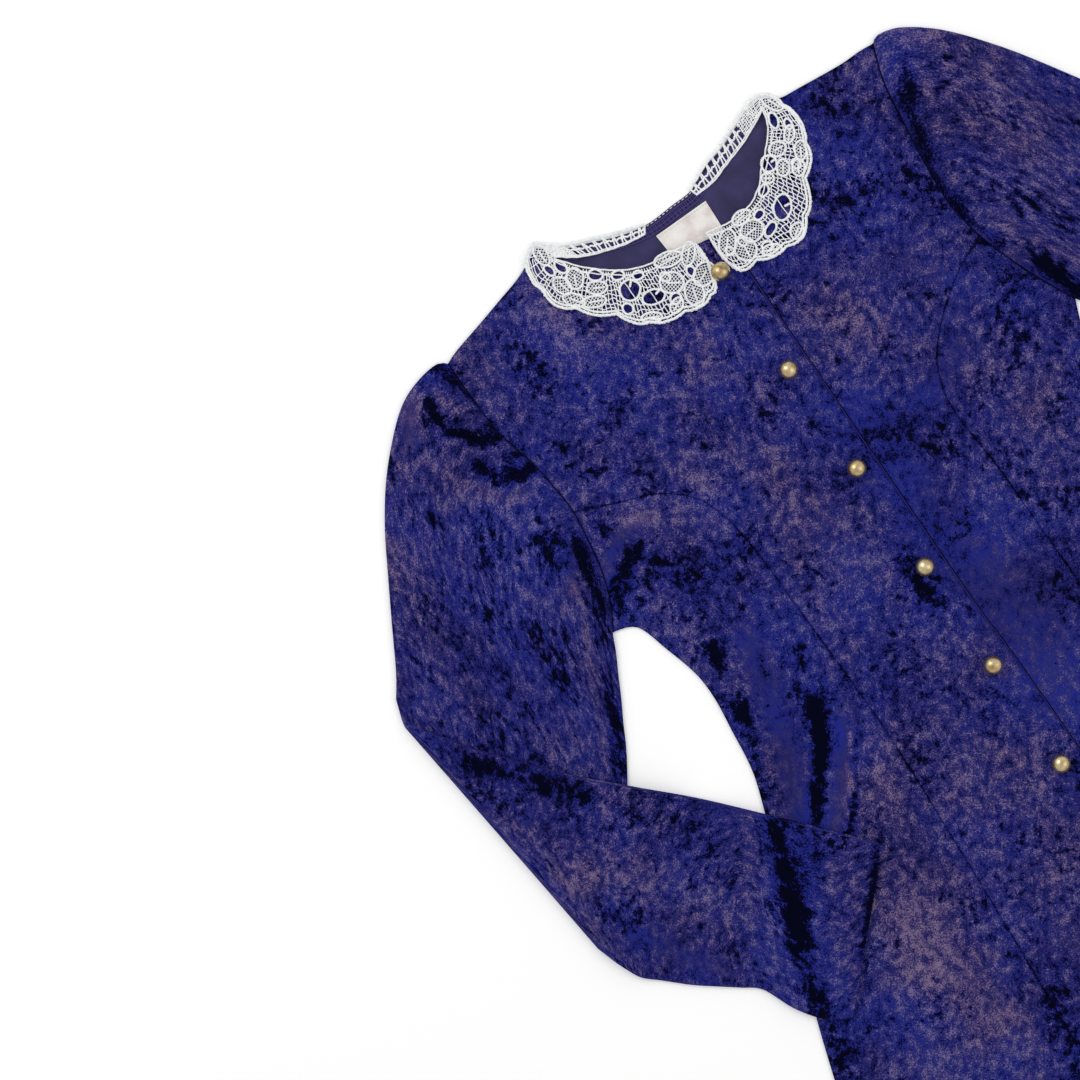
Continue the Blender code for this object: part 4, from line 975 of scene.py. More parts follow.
@dataclass
class PressedSleeve:
    """A long sleeve pressed flat: a tube of cloth with a gathered head, open at both ends."""

    name: str
    plan: DressPlan
    rows: Table
    armhole: Line
    brushwork: Brushwork
    side: int
    forearm: Table = ()
    forearm_brushwork: Brushwork | None = None
    support: HeightField | None = None
    spacing: float = 4.0
    column: float = 4.2
    edge: float = 3.2
    turn_gap: float = 0.4
    turn_steps: int = 10
    elbow_round: float = 6.0
    elbow_rise: float = 0.05
    elbow_calm: float = 24.0
    fold_bulge: float = 0.4
    fold_foot: float = 1.3
    ripples: Table = ((0.4, 40.0, 11.3), (0.2, 15.0, 5.9))
    ripple_reach: float = 9.0
    arc: tuple[float, ...] = (60.0, 30.0, 0.0, -30.0, -60.0)
    settle: float = 14.0
    pattern_away: float = 900.0

    def rings(self) -> list[Ring]:
        """Return the sleeve's rings from the armhole to the cuff."""
        rings = [Ring(np.array(row[:2]), np.array(row[2:4]), row[4], row[5])
                 for row in through(self.rows, self.spacing)]
        rings[0].outer[0] += self.side * self.plan.seam_gap
        rings[0].inner[0] += self.side * self.plan.seam_gap
        if not self.forearm:
            return rings
        start = self.edge + self.turn_gap
        upper, lower, line, normal = self.elbow()
        for step in range(self.turn_steps + 1):
            angle = math.pi * step / self.turn_steps
            turn, over = math.sin(angle), angle > math.pi / 2
            top = line * self.elbow_round * (1.0 if over else turn)
            bulge = self.fold_bulge * self.elbow_round * math.cos(angle)
            top = top + normal * (0.0 if over else bulge)
            swing = self.fold_foot * (1.0 - 2.0 * turn) if over else -self.fold_foot * turn
            foot = line * self.elbow_round * swing
            rings.append(Ring(upper - normal * start + top, lower - normal * start + foot,
                              self.edge, 0.0, Way.TURNING, angle))
        rings += [Ring(np.array(row[:2]), np.array(row[2:4]), row[4], 0.0, Way.FOLDED)
                  for row in through(self.forearm, self.spacing)]
        return rings

    @staticmethod
    def elbow() -> tuple[np.ndarray, np.ndarray, np.ndarray, np.ndarray]:
        """Return the elbow fold's two ends, its direction and its outward normal."""
        upper, lower = (np.array(point, float) for point in ELBOW_LINE)
        line = (lower - upper) / np.linalg.norm(lower - upper)
        return upper, lower, line, np.array([line[1], -line[0]])

    def from_elbow(self, spots: np.ndarray) -> np.ndarray:
        """Return how far each spot is from the elbow's fold."""
        upper, _, line, _ = self.elbow()
        away = spots - upper
        return np.abs(away[:, 0] * line[1] - away[:, 1] * line[0])

    def elbow_limit(self, spots: np.ndarray) -> np.ndarray:
        """Return how thick the sleeve may be, so that it is thin where it folds."""
        away = self.from_elbow(spots) - self.turn_gap - self.edge
        return self.edge + np.maximum(0.0, away) * self.elbow_rise

    def bow(self, share: np.ndarray) -> np.ndarray:
        """Return how far the armhole bows from its chord at each share of its length."""
        line = np.array(self.armhole)
        chord = line[-1] - line[0]
        length = float(np.hypot(*chord))
        chord = chord / length
        away = line - line[0]
        along = away @ chord / length
        across = away[:, 0] * chord[1] - away[:, 1] * chord[0]
        order = np.argsort(along)
        return np.interp(share, along[order], across[order])

    def profile(self, width: float, columns: int, inner: bool) -> tuple[np.ndarray, ...]:
        """Return the places round a ring.

        Args:
            width: The ring's flat width, in mm.
            columns: How many points each of its two faces has.
            inner: Whether it is the cloth's inner face.

        Returns:
            The distance of each point from the outer edge, which face it is on (1 the upper
            one, -1 the under one, 0 the folded edges), and the height on a folded edge.
        """
        radius = self.edge / 2
        bend = radius - (self.plan.cloth if inner else 0.0)
        across = radius + (width - 2 * radius) * np.linspace(0.0, 1.0, columns)
        turn = np.radians(self.arc)
        far = width - radius + bend * np.cos(turn), radius + bend * np.sin(turn)
        near = radius - bend * np.cos(turn[::-1]), radius + bend * np.sin(turn[::-1])
        places = np.concatenate([across, far[0], across[::-1], near[0]])
        count = len(turn)
        face = np.concatenate([np.ones(columns), np.zeros(count), -np.ones(columns),
                               np.zeros(count)])
        level = np.concatenate([np.zeros(columns), far[1], np.zeros(columns), near[1]])
        return places, face, level

    def ring_points(self, ring: Ring, columns: int, inner: bool) -> tuple[np.ndarray, ...]:
        """Return a ring's points, its places on the cloth, and its brushing with painted shading.
        """
        chord = ring.inner - ring.outer
        width = float(np.hypot(*chord))
        chord = chord / width
        t, face, level = self.profile(width, columns, inner)
        share = t / width
        flat = ring.outer + chord * t[:, None]
        if ring.curve:
            side = np.array([chord[1], -chord[0]])
            flat = flat + side * (self.bow(share) * ring.curve)[:, None]
        thick = self.edge + (ring.height - self.edge) * (1.0 - np.abs(2 * share - 1) ** 3)
        if self.forearm and ring.way is Way.FLAT:
            thick = np.minimum(thick, self.elbow_limit(flat))
        rise, brush_and_shading = self.lift(ring, flat, t, width, face)
        wall = self.plan.cloth if inner else 0.0
        seen = 1 if ring.way is Way.FLAT else -1
        height = np.where(face > 0, thick - wall, np.where(face < 0, wall, level))
        height = height + np.where(face == seen, seen * rise, 0.0)
        if ring.way is Way.TURNING:
            normal = self.elbow()[3]
            radius = self.edge + self.turn_gap - height
            flat = flat + normal * (radius * math.sin(ring.angle))[:, None]
            height = self.edge + self.turn_gap - radius * math.cos(ring.angle)
        if ring.way is Way.FOLDED:
            height = self.base(flat) + thick - height
        round_it = np.where(face < 0, 2 * width - t, t)
        return np.column_stack([flat, height]), round_it, brush_and_shading

    def lift(self, ring: Ring, flat: np.ndarray, t: np.ndarray, width: float,
             face: np.ndarray) -> tuple[np.ndarray, np.ndarray]:
        """Return how far folds lift the cloth at a ring's points, and its brushing with painted
        shading.
        """
        if ring.way is Way.TURNING:
            return np.zeros(len(flat)), np.zeros((len(flat), 3))
        folded = ring.way is Way.FOLDED
        work = self.forearm_brushwork if folded else self.brushwork
        rise, brush_and_shading = work.at(flat)
        rise += ripple(flat, self.ripples)
        rise *= smoothstep(np.minimum(t, width - t) / self.ripple_reach)
        if self.forearm:
            rise *= smoothstep((self.from_elbow(flat) - self.edge) / self.elbow_calm)
        hidden = face == (1 if folded else -1)
        brush_and_shading[hidden] = 0.0
        return rise, brush_and_shading

    def base(self, spots: np.ndarray) -> np.ndarray:
        """Return the height of the folded forearm's under face."""
        start = self.edge + 2 * self.turn_gap
        lies = self.support.sample(spots) + self.turn_gap
        return start + (np.maximum(lies, 0.0) - start) * smoothstep(
            (self.from_elbow(spots) - start) / self.settle)

    def build(self, velvet: Material, wrong: Material) -> Piece:
        rings = self.rings()
        widest = max(float(np.hypot(*(ring.inner - ring.outer))) for ring in rings)
        columns = round(widest / self.column)
        cloth = Cloth()
        length = self.lengths(rings)
        outer = self.tube(cloth, rings, length, columns, False)
        inner = self.tube(cloth, rings, length, columns, True)
        count = 2 * columns + 2 * len(self.arc)
        for first, second in zip(outer, outer[1:]):
            cloth.fill(band(first, second, count), 0)
        for first, second in zip(inner, inner[1:]):
            cloth.fill(band(second, first, count), 1)
        cloth.fill(band(inner[0], outer[0], count), 0)
        cloth.fill(band(outer[-1], inner[-1], count), 0)
        if self.side > 0:
            cloth.faces = [face[::-1] for face in cloth.faces]
        piece = cloth.make(f"velvet_{self.name}", self.plan, [velvet, wrong], sharp=70.0)
        declare(piece, Slot.VELVET, self.name)
        return piece

    def lengths(self, rings: list[Ring]) -> list[float]:
        """Return how far along the sleeve each ring is."""
        total = [0.0]
        for first, second in zip(rings, rings[1:]):
            step = 0.5 * (second.outer + second.inner - first.outer - first.inner)
            turned = abs(second.angle - first.angle) if second.way is Way.TURNING else 0.0
            radius = self.edge + self.turn_gap
            total.append(total[-1] + max(float(np.hypot(*step)), turned * radius))
        return total

    def tube(self, cloth: Cloth, rings: list[Ring], length: list[float], columns: int,
             inner: bool) -> list[int]:
        """Add one face of the cloth, ring by ring, and return each ring's first point."""
        firsts = []
        offset = self.pattern_away * self.side
        for ring, along in zip(rings, length):
            points, round_it, brush_and_shading = self.ring_points(ring, columns, inner)
            flat = np.column_stack([round_it + offset, np.full(len(points), -along)])
            firsts.append(cloth.add(points, flat, brush_and_shading))
        return firsts


def band(first: int, second: int, count: int) -> list[tuple[int, ...]]:
    """Return the faces between two rings of points."""
    return [(first + i, first + (i + 1) % count, second + (i + 1) % count, second + i)
            for i in range(count)]


@dataclass
class Strands:
    """Threads, cords and stitches, each a path that Geometry Nodes turn into a round strand."""

    plan: DressPlan
    sides: int = 5
    ply_points: int = 5
    ply_away: float = 0.46
    ply_size: float = 0.56
    paths: list = field(default_factory=list)

    def add(self, points: np.ndarray, radius: float, closed: bool = False) -> None:
        """Add one strand, from its points in mm and its radius."""
        if len(points) > 1:
            self.paths.append((np.asarray(points, float), radius, closed))

    def rope(self, points: np.ndarray, radius: float, lay: float = 2.6,
             closed: bool = False) -> None:
        """Add a cord of two plies wound round each other.

        Args:
            points: The cord's middle line, in mm.
            radius: The radius of the whole cord.
            lay: How far along one turn of a ply reaches.
            closed: Whether the cord is a ring.
        """
        line = even(points, lay / self.ply_points, closed)
        ahead = np.roll(line, -1, axis=0) - np.roll(line, 1, axis=0)
        if not closed:
            ahead[0], ahead[-1] = line[1] - line[0], line[-1] - line[-2]
        ahead /= np.maximum(np.linalg.norm(ahead, axis=1), 1e-6)[:, None]
        side = np.column_stack([-ahead[:, 1], ahead[:, 0], np.zeros(len(line))])
        turns = max(1, round(len(line) / self.ply_points))
        angle = math.tau * turns * np.arange(len(line)) / len(line)
        for phase in (0.0, math.pi):
            away = self.ply_away * radius
            ply = line + side * (away * np.cos(angle + phase))[:, None]
            ply[:, 2] += away * np.sin(angle + phase)
            self.add(ply, radius * self.ply_size, closed)

    def make(self, name: str, material: Material) -> Piece:
        """Make all the strands as one plain mesh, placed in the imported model's frame."""
        spots, edges, radii = [], [], []
        for points, radius, closed in self.paths:
            first = len(spots)
            spots.extend(self.plan.place(points).tolist())
            radii.extend([radius * MM] * len(points))
            edges.extend((first + i, first + i + 1) for i in range(len(points) - 1))
            if closed:
                edges.append((first + len(points) - 1, first))
        mesh = bpy.data.meshes.new(f"{name}_paths")
        mesh.from_pydata(spots, edges, [])
        layer = mesh.attributes.new("thread", "FLOAT", "POINT")
        layer.data.foreach_set("value", radii)
        guide = placed(f"{name}_paths", mesh)
        modifier = guide.modifiers.new("strands", "NODES")
        modifier.node_group = strand_tree()
        modifier[socket_of(modifier.node_group, "Sides")] = self.sides
        modifier[socket_of(modifier.node_group, "Finish")] = material
        guide.data.update()
        graph = bpy.context.evaluated_depsgraph_get()
        made = bpy.data.meshes.new_from_object(guide.evaluated_get(graph))
        bpy.data.objects.remove(guide)
        made.name = name
        return placed(name, made)


def even(points: np.ndarray, step: float, closed: bool = False) -> np.ndarray:
    """Return points evenly spaced along a path."""
    line = np.vstack([points, points[:1]]) if closed else np.asarray(points, float)
    gaps = np.linalg.norm(np.diff(line, axis=0), axis=1)
    along = np.concatenate(([0.0], np.cumsum(gaps)))
    count = max(4, round(along[-1] / step))
    places = np.linspace(0.0, along[-1], count + 1)
    made = np.column_stack([np.interp(places, along, line[:, axis])
                            for axis in range(line.shape[1])])
    return made[:-1] if closed else made


def socket_of(tree: Tree, name: str) -> str:
    """Return the identifier of a named input of a node group."""
    return next(item.identifier for item in tree.interface.items_tree if item.name == name)


def strand_tree() -> Tree:
    """Return the node tree that gives a strand its thickness, built once."""
    known = bpy.data.node_groups.get("round strands")
    if known:
        return known
    tree = bpy.data.node_groups.new("round strands", "GeometryNodeTree")
    sockets = tree.interface
    sockets.new_socket("Geometry", in_out="INPUT", socket_type="NodeSocketGeometry")
    sides = sockets.new_socket("Sides", in_out="INPUT", socket_type="NodeSocketInt")
    sides.default_value = 5
    sockets.new_socket("Finish", in_out="INPUT", socket_type="NodeSocketMaterial")
    sockets.new_socket("Geometry", in_out="OUTPUT", socket_type="NodeSocketGeometry")
    given = node(tree, "NodeGroupInput")
    curve = node(tree, "GeometryNodeMeshToCurve", {"Mesh": given})
    thread = node(tree, "GeometryNodeInputNamedAttribute", {"Name": "thread"},
                  data_type="FLOAT")
    round_it = node(tree, "GeometryNodeCurvePrimitiveCircle", {
        "Resolution": given.outputs["Sides"], "Radius": 1.0})
    tube = node(tree, "GeometryNodeCurveToMesh", {
        "Curve": curve, "Profile Curve": round_it, "Scale": thread, "Fill Caps": True})
    smooth = node(tree, "GeometryNodeSetShadeSmooth", {"Geometry": tube})
    real = node(tree, "GeometryNodeRealizeInstances", {"Geometry": smooth})
    dressed = node(tree, "GeometryNodeSetMaterial", {
        "Geometry": real, "Material": given.outputs["Finish"]})
    node(tree, "NodeGroupOutput", {"Geometry": dressed})
    return tree


@dataclass(frozen=True)
class Oval:
    """A petal or a gap of the lace: a place, two sizes and a turn in degrees."""

    x: float
    y: float
    length: float
    width: float
    turn: float

    def ring(self, grow: float = 0.0, count: int = 28) -> np.ndarray:
        """Return points round the oval, `grow` mm outside it."""
        angle = math.tau * np.arange(count) / count
        return self.out(np.column_stack([(self.length / 2 + grow) * np.cos(angle),
                                         (self.width / 2 + grow) * np.sin(angle)]))

    def out(self, local: np.ndarray) -> np.ndarray:
        """Turn points in the oval's own axes into places on the dress."""
        turn = math.radians(self.turn)
        x = self.x + local[:, 0] * math.cos(turn) - local[:, 1] * math.sin(turn)
        y = self.y + local[:, 0] * math.sin(turn) + local[:, 1] * math.cos(turn)
        return np.column_stack([x, y])

    def depth(self, spots: np.ndarray) -> np.ndarray:
        """Return how far out each spot is: 1 on the oval, less inside it."""
        turn = math.radians(self.turn)
        dx, dy = spots[:, 0] - self.x, spots[:, 1] - self.y
        u = dx * math.cos(turn) + dy * math.sin(turn)
        v = -dx * math.sin(turn) + dy * math.cos(turn)
        return np.hypot(u / (self.length / 2), v / (self.width / 2))


@dataclass(frozen=True)
class Yarn:
    """A yarn of the lace, in mm: its radius, its height on the lace, how unevenly it runs."""

    radius: float
    lift: float
    wobble: float


@dataclass
class LaceCollar:
    """Half of the lace collar: corded edges, petals filled with net, and rings round gaps."""

    name: str
    plan: DressPlan
    ribs: Table
    gap_rows: Table
    petal_rows: Table
    rest: HeightField
    scallops: int = 7
    scallop_depth: float = 3.0
    scallops_start: float = 0.36
    clearance: float = 0.35
    ground_step: float = 2.9
    ground_rows: int = 8
    ground_span: tuple[float, float] = (0.04, 0.97)
    ground_lean: float = 0.012
    net_step: float = 2.5
    band_rungs: int = 17
    picot: float = 0.8
    picot_step: float = 3.1
    up: Yarn = Yarn(0.40, 0.45, 0.85)
    along: Yarn = Yarn(0.40, 0.60, 0.85)
    netting: tuple = ((0.9, Yarn(0.30, 0.635, 0.4)), (-0.9, Yarn(0.30, 0.365, 0.4)))
    outline: Yarn = Yarn(0.95, 0.85, 0.5)
    vein: Yarn = Yarn(0.62, 0.8, 0.5)
    ring: Yarn = Yarn(0.95, 0.8, 0.6)
    stem: Yarn = Yarn(1.0, 0.7, 0.3)
    bar: Yarn = Yarn(0.4, 0.6, 0.6)
    corded: tuple = ((0.0, Yarn(0.75, 0.75, 0.5)), (0.1, Yarn(0.6, 0.7, 0.5)),
                     (1.0, Yarn(1.15, 0.95, 0.6)), (0.93, Yarn(0.95, 1.0, 0.6)))
    end: Yarn = Yarn(0.95, 0.8, 0.3)
    loop: Yarn = Yarn(0.36, 0.7, 0.0)
    rung: Yarn = Yarn(0.72, 0.7, 0.5)
    middle: Yarn = Yarn(0.8, 0.75, 0.5)
    edge_points: int = 190
    thread_points: int = 22
    band_share: float = 0.8
    large_gap: float = 8.0

    def __post_init__(self) -> None:
        """Read the tables."""
        self.lines = through(self.ribs, 2.0)
        self.gaps = [Oval(*row) for row in self.gap_rows]
        self.petals = [Oval(*row) for row in self.petal_rows]
        self.net = Strands(self.plan)
        self.cords = Strands(self.plan)

    def at(self, along: np.ndarray, across: np.ndarray) -> np.ndarray:
        """Return the places at shares along the collar and shares across it."""
        place = np.clip(along, 0.0, 1.0) * (len(self.lines) - 1)
        index = np.minimum(place.astype(int), len(self.lines) - 2)
        table = np.array(self.lines)
        rib = table[index] + (table[index + 1] - table[index]) * (place - index)[:, None]
        width = np.maximum(1.0, np.hypot(rib[:, 2] - rib[:, 0], rib[:, 3] - rib[:, 1]))
        longer = across * (1.0 + self.scallop(along) / width)
        return rib[:, :2] + (rib[:, 2:4] - rib[:, :2]) * longer[:, None]

    def scallop(self, along: np.ndarray) -> np.ndarray:
        """Return how far the edge's scallops reach at shares along the collar."""
        share = (along - self.scallops_start) / (1.0 - self.scallops_start)
        wave = np.abs(np.sin(math.pi * self.scallops * share)) ** 0.7 - 0.6
        return np.where(along < self.scallops_start, 0.0, self.scallop_depth * wave)

    def laid(self, spots: np.ndarray, yarn: Yarn) -> np.ndarray:
        """Lay a yarn's places on what the lace rests on."""
        height = self.rest.sample(spots) + self.clearance + yarn.lift
        return np.column_stack([spots, height])

    @staticmethod
    def uneven(spots: np.ndarray, yarn: Yarn) -> np.ndarray:
        """Move places a little, as threads worked by hand are never quite even."""
        shift = np.column_stack([waves(spots, 5.0, 21.0), waves(spots, 5.0, 47.0)])
        return spots + yarn.wobble * shift

    def cord(self, spots: np.ndarray, yarn: Yarn, plied: bool = True) -> None:
        """Work a cord through places, plied of two yarns or a single one."""
        work = self.cords.rope if plied else self.cords.add
        work(self.laid(self.uneven(spots, yarn), yarn), yarn.radius)

    def runs(self, spots: np.ndarray, keep: np.ndarray, yarn: Yarn) -> None:
        """Add the stretches of a thread that are to be kept."""
        start = None
        for index in range(len(spots) + 1):
            if index < len(spots) and keep[index]:
                start = index if start is None else start
            elif start is not None:
                if index - start > 1:
                    self.net.add(self.laid(spots[start:index], yarn), yarn.radius)
                start = None

    def open_ground(self, spots: np.ndarray) -> np.ndarray:
        """Say which places are on the ground, outside every gap and petal."""
        keep = np.ones(len(spots), bool)
        for gap in self.gaps:
            keep &= gap.depth(spots) > 1.0
        for petal in self.petals:
            keep &= petal.depth(spots) > 0.95
        return keep

    def ground_threads(self) -> None:
        """Work the close ground between the petals, in two directions."""
        length = float(np.sum(np.hypot(*np.diff(np.array(self.lines)[:, 2:4], axis=0).T)))
        count = round(length / self.ground_step)
        for row in range(count + 1):
            across = np.linspace(*self.ground_span, self.thread_points)
            start = np.full(self.thread_points, row / count)
            spots = self.uneven(self.at(start + self.ground_lean * (across - 0.5), across),
                                self.up)
            self.runs(spots, self.open_ground(spots) & ~self.narrow(start), self.up)
        for share in np.linspace(0.14, 0.86, self.ground_rows):
            along = np.linspace(0.0, 1.0, 3 * count)
            weave = share + 0.018 * np.sin(along * count * 1.9 + share * 40.0)
            spots = self.uneven(self.at(along, weave), self.along)
            self.runs(spots, self.open_ground(spots) & ~self.narrow(along), self.along)

    def narrow(self, along: np.ndarray) -> np.ndarray:
        """Say where the collar is only a narrow band, behind the neck."""
        return along < self.scallops_start * self.band_share

    def petal(self, oval: Oval) -> None:
        """Work one petal: a corded outline, filled with an open net."""
        edge = self.laid(self.uneven(oval.ring(-0.5), self.outline), self.outline)
        self.net.rope(edge, self.outline.radius, closed=True)
        reach = oval.length / 2
        for slope, yarn in self.netting:
            for offset in np.arange(-reach, reach, self.net_step):
                line = np.linspace(-1.0, 1.0, 15) * oval.width / 2
                local = np.column_stack([offset + slope * line, line])
                spots = self.uneven(oval.out(local), yarn)
                self.runs(spots, oval.depth(spots) < 0.9, yarn)
        vein = oval.out(np.column_stack([np.linspace(-0.32, 0.2, 5) * oval.length,
                                         np.zeros(5)]))
        self.cord(vein, self.vein, plied=False)

    def gap(self, oval: Oval) -> None:
        """Work the cords round one gap, with a picot into the larger ones."""
        edge = self.laid(self.uneven(oval.ring(0.7), self.ring), self.ring)
        self.cords.rope(edge, self.ring.radius, closed=True)
        if min(oval.length, oval.width) > self.large_gap:
            angle = math.radians(oval.turn) + 0.6
            away = np.array([math.cos(angle), math.sin(angle)])
            start = np.array([oval.x, oval.y]) + away * oval.length * 0.5
            stem = start[None] - away[None] * np.linspace(0.0, 0.34, 5)[:, None] * oval.length
            self.cord(stem, self.stem)
            bar = np.array([[oval.x, oval.y]]) + np.column_stack(
                [np.zeros(7), np.linspace(-0.5, 0.5, 7) * oval.width])
            self.cord(bar, self.bar, plied=False)

    def edges(self) -> None:
        """Cord both edges, the outer one twice, and set picots along it."""
        along = np.linspace(0.0, 1.0, self.edge_points)
        for share, yarn in self.corded:
            self.cord(self.at(along, np.full(self.edge_points, share)), yarn)
        for share in (0.0, 1.0):
            self.cord(self.at(np.full(9, share), np.linspace(0.0, 1.0, 9)), self.end)
        outer = even(self.at(along, np.ones(self.edge_points)), self.picot_step)
        for index, (spot, after) in enumerate(zip(outer, outer[1:])):
            step = (after - spot) / max(1e-6, float(np.hypot(*(after - spot))))
            side = np.array([-step[1], step[0]])
            inward = self.at(np.array([index / len(outer)]), np.array([0.9]))[0] - spot
            side *= -1.0 if side @ inward > 0 else 1.0
            turn = np.linspace(0.0, math.pi, 6)
            bulge = self.picot * (0.8 + 0.5 * abs(math.sin(index * 2.3)))
            loop = spot + step * (bulge * np.cos(turn))[:, None] * -1.0
            loop = loop + side * (bulge * np.sin(turn))[:, None]
            self.cord(loop, self.loop, plied=False)

    def ladder(self) -> None:
        """Work the rungs of the narrow band behind the neck."""
        reach = self.scallops_start * self.band_share
        for row in range(self.band_rungs):
            along = reach * row / self.band_rungs
            lean = 0.012 if row % 2 else -0.004
            across = np.linspace(0.05, 0.95, 8)
            spots = self.at(along + lean * across, across)
            self.cord(spots, self.rung)
        along = np.linspace(0.0, reach, 60)
        middle = self.at(along, 0.52 + 0.05 * np.sin(along * 300.0))
        self.cord(middle, self.middle)

    def build(self, lace: Material) -> Piece:
        self.ground_threads()
        for petal in self.petals:
            self.petal(petal)
        for gap in self.gaps:
            self.gap(gap)
        self.edges()
        self.ladder()
        piece = self.net.make(f"lace_{self.name}", lace)
        cords = self.cords.make(f"cords_{self.name}", lace)
        for made in (piece, cords):
            declare(made, Slot.LACE, self.name)
        edge = [tuple(spot) for spot in self.at(np.linspace(0, 1, 90), np.zeros(90))]
        edge += [tuple(spot) for spot in self.at(np.linspace(1, 0, 90), np.ones(90))]
        abs(signed_area(edge)) * MM * MM
        return piece


@dataclass
class NeckFinish:
    """The overlocked edge inside the back of the neck, and the row of stitches at its middle."""

    plan: DressPlan
    stitch_step: float = 1.7
    stitch_length: float = 5.6
    start: float = 3.0
    lean: tuple[float, float] = (-0.2, 0.8)
    above: float = 0.5
    stitch: tuple[float, ...] = (0.0, 0.35, 0.3, 0.0)
    thread: float = 0.34
    rows: tuple[float, ...] = (0.0, 0.55, 1.0)
    row_thread: float = 0.36
    row_rise: float = 0.25
    middle: tuple[float, float] = (-27.0, 17.0)
    dash: tuple[float, ...] = (-0.15, 0.15, 0.15, -0.15)
    dash_thread: float = 0.32
    dash_drop: float = 1.1

    def build(self, thread: Material, white: Material) -> list:
        """Make the overlock and the white stitches."""
        edge = np.array([point[:2] for point in through(BACK_NECK, 2.0)])
        edge = even(edge, self.stitch_step)
        ahead = np.gradient(edge, axis=0)
        ahead /= np.linalg.norm(ahead, axis=1)[:, None]
        down = np.column_stack([ahead[:, 1], -ahead[:, 0]])
        lock = Strands(self.plan)
        height = self.plan.cloth + self.above
        for index in range(1, len(edge) - 1):
            top = edge[index] + down[index] * self.start
            foot = top + down[index] * self.stitch_length + ahead[index] * self.lean[index % 2]
            line = top + (foot - top) * np.linspace(0, 1, len(self.stitch))[:, None]
            lock.add(np.column_stack([line, height + np.array(self.stitch)]), self.thread)
        for share in self.rows:
            line = edge + down * (self.start + self.stitch_length * share)
            line = line + ahead * 0.3 * np.sin(np.arange(len(edge)) * 1.7)[:, None]
            rise = np.full(len(line), height + self.row_rise)
            lock.add(np.column_stack([line, rise]), self.row_thread)
        overlock = declare(lock.make("overlock_neck", thread), Slot.WRONG_SIDE)
        dashes = Strands(self.plan)
        inner = edge[(edge[:, 0] > self.middle[0]) & (edge[:, 0] < self.middle[1])]
        for start, end in zip(inner[::2], inner[1::2]):
            line = start + (end - start) * np.linspace(0.0, 0.95, len(self.dash))[:, None]
            line[:, 1] -= self.dash_drop
            dashes.add(np.column_stack([line, height + np.array(self.dash)]), self.dash_thread)
        stitches = declare(dashes.make("stitches_neck", white), Slot.LACE)
        return [overlock, stitches]


@dataclass
class RolledEdges:
    """The rolled seams that join the sleeves to the body, and the turned edge of the lap. The seam
    rolls are coloured near-black as painted shade, the lap edge carries a painted highlight and a
    painted shadow beside it.
    """

    plan: DressPlan
    radius: float = 0.7
    height: float = 1.8
    unevenness: Table = ((0.2, 9.0, 2.0),)
    lap_radius: float = 0.4
    lap_shadow: float = 0.7
    lap_wander: Table = ((0.25, 18.0, 4.0),)
    lap_length: float = 880.0

    def build(self, material: Material) -> Piece:
        """Make both rolls as one piece."""
        rolls = Strands(self.plan, sides=8)
        for line, side in ((self.plan.right_armhole, -1), (self.plan.left_armhole, 1)):
            points = np.array([point[:2] for point in line])
            points[:, 0] += side * self.plan.seam_gap / 2
            height = self.height + ripple(points, self.unevenness)
            # The roll's near-black colour is painted shade in the seam's groove
            rolls.add(np.column_stack([points, height]), self.radius)
        return declare(rolls.make("armhole_seams", material), Slot.VELVET)

    def lap(self, light: Material, dark: Material) -> list:
        """Make the turned edge of the right front with a painted highlight on it, and a dark strand
        beside it as a painted shadow.
        """
        line = np.array(even(np.array(through(LAP_EDGE, 6.0)), 3.0))
        line = line[line[:, 1] > -self.lap_length]
        made = []
        # The light strand on the fold is a painted highlight; the dark strand beside it is a
        # painted shadow
        for name, shift, lapped, rise, finish in (
                ("lap_edge", -0.2, True, -0.3, light),
                ("lap_painted_shadow", self.lap_shadow, False, 0.1, dark)):
            spots = line + np.array([shift, 0.0])
            spots[:, 0] += ripple(spots, self.lap_wander)
            edge = Strands(self.plan, sides=6)
            height = self.plan.front_top(spots, lapped) + rise
            edge.add(np.column_stack([spots, height]), self.lap_radius)
            made.append(declare(edge.make(name, finish), Slot.VELVET))
        return made


@dataclass
class BallButtons:
    """The metal ball buttons, each on a small flat foot."""

    plan: DressPlan
    count: int = 11
    # The balls are this wide in the photograph, at the scale that the whole dress has
    diameter: float = 13.6
    foot: float = 2.2
    around: int = 40
    up: int = 26

    def build(self, brass: Material) -> list:
        """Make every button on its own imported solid."""
        return [self.button(f"button_{number + 1:02d}", brass) for number in range(self.count)]

    def button(self, name: str, brass: Material) -> Piece:
        """Make one ball: a fine sphere with a flat foot."""
        low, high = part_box(name)
        middle = (low + high) / 2
        radius = self.diameter / 2 * MM
        centre = high.z - radius
        floor = low.z
        rows = np.linspace(math.pi / 2, -math.acos(self.foot / (self.diameter / 2)), self.up)
        spots = [(middle.x, middle.y, high.z)]
        for angle in rows[1:]:
            for step in range(self.around):
                turn = math.tau * step / self.around
                reach = radius * math.cos(angle)
                spots.append((middle.x + reach * math.cos(turn), middle.y + reach * math.sin(turn),
                              max(floor, centre + radius * math.sin(angle))))
        spots.append((middle.x, middle.y, floor))
        faces = [(0, 1 + i, 1 + (i + 1) % self.around) for i in range(self.around)]
        for row in range(len(rows) - 2):
            first = 1 + row * self.around
            faces += [(first + i, first + self.around + i,
                       first + self.around + (i + 1) % self.around, first + (i + 1) % self.around)
                      for i in range(self.around)]
        last, ring = len(spots) - 1, len(spots) - 1 - self.around
        faces += [(last, ring + (i + 1) % self.around, ring + i) for i in range(self.around)]
        mesh = bpy.data.meshes.new(f"ball_{name}")
        mesh.from_pydata(spots, [], faces)
        mesh.shade_smooth()
        mesh.materials.append(brass)
        return declare(placed(f"ball_{name}", mesh), Slot.BRASS, name)


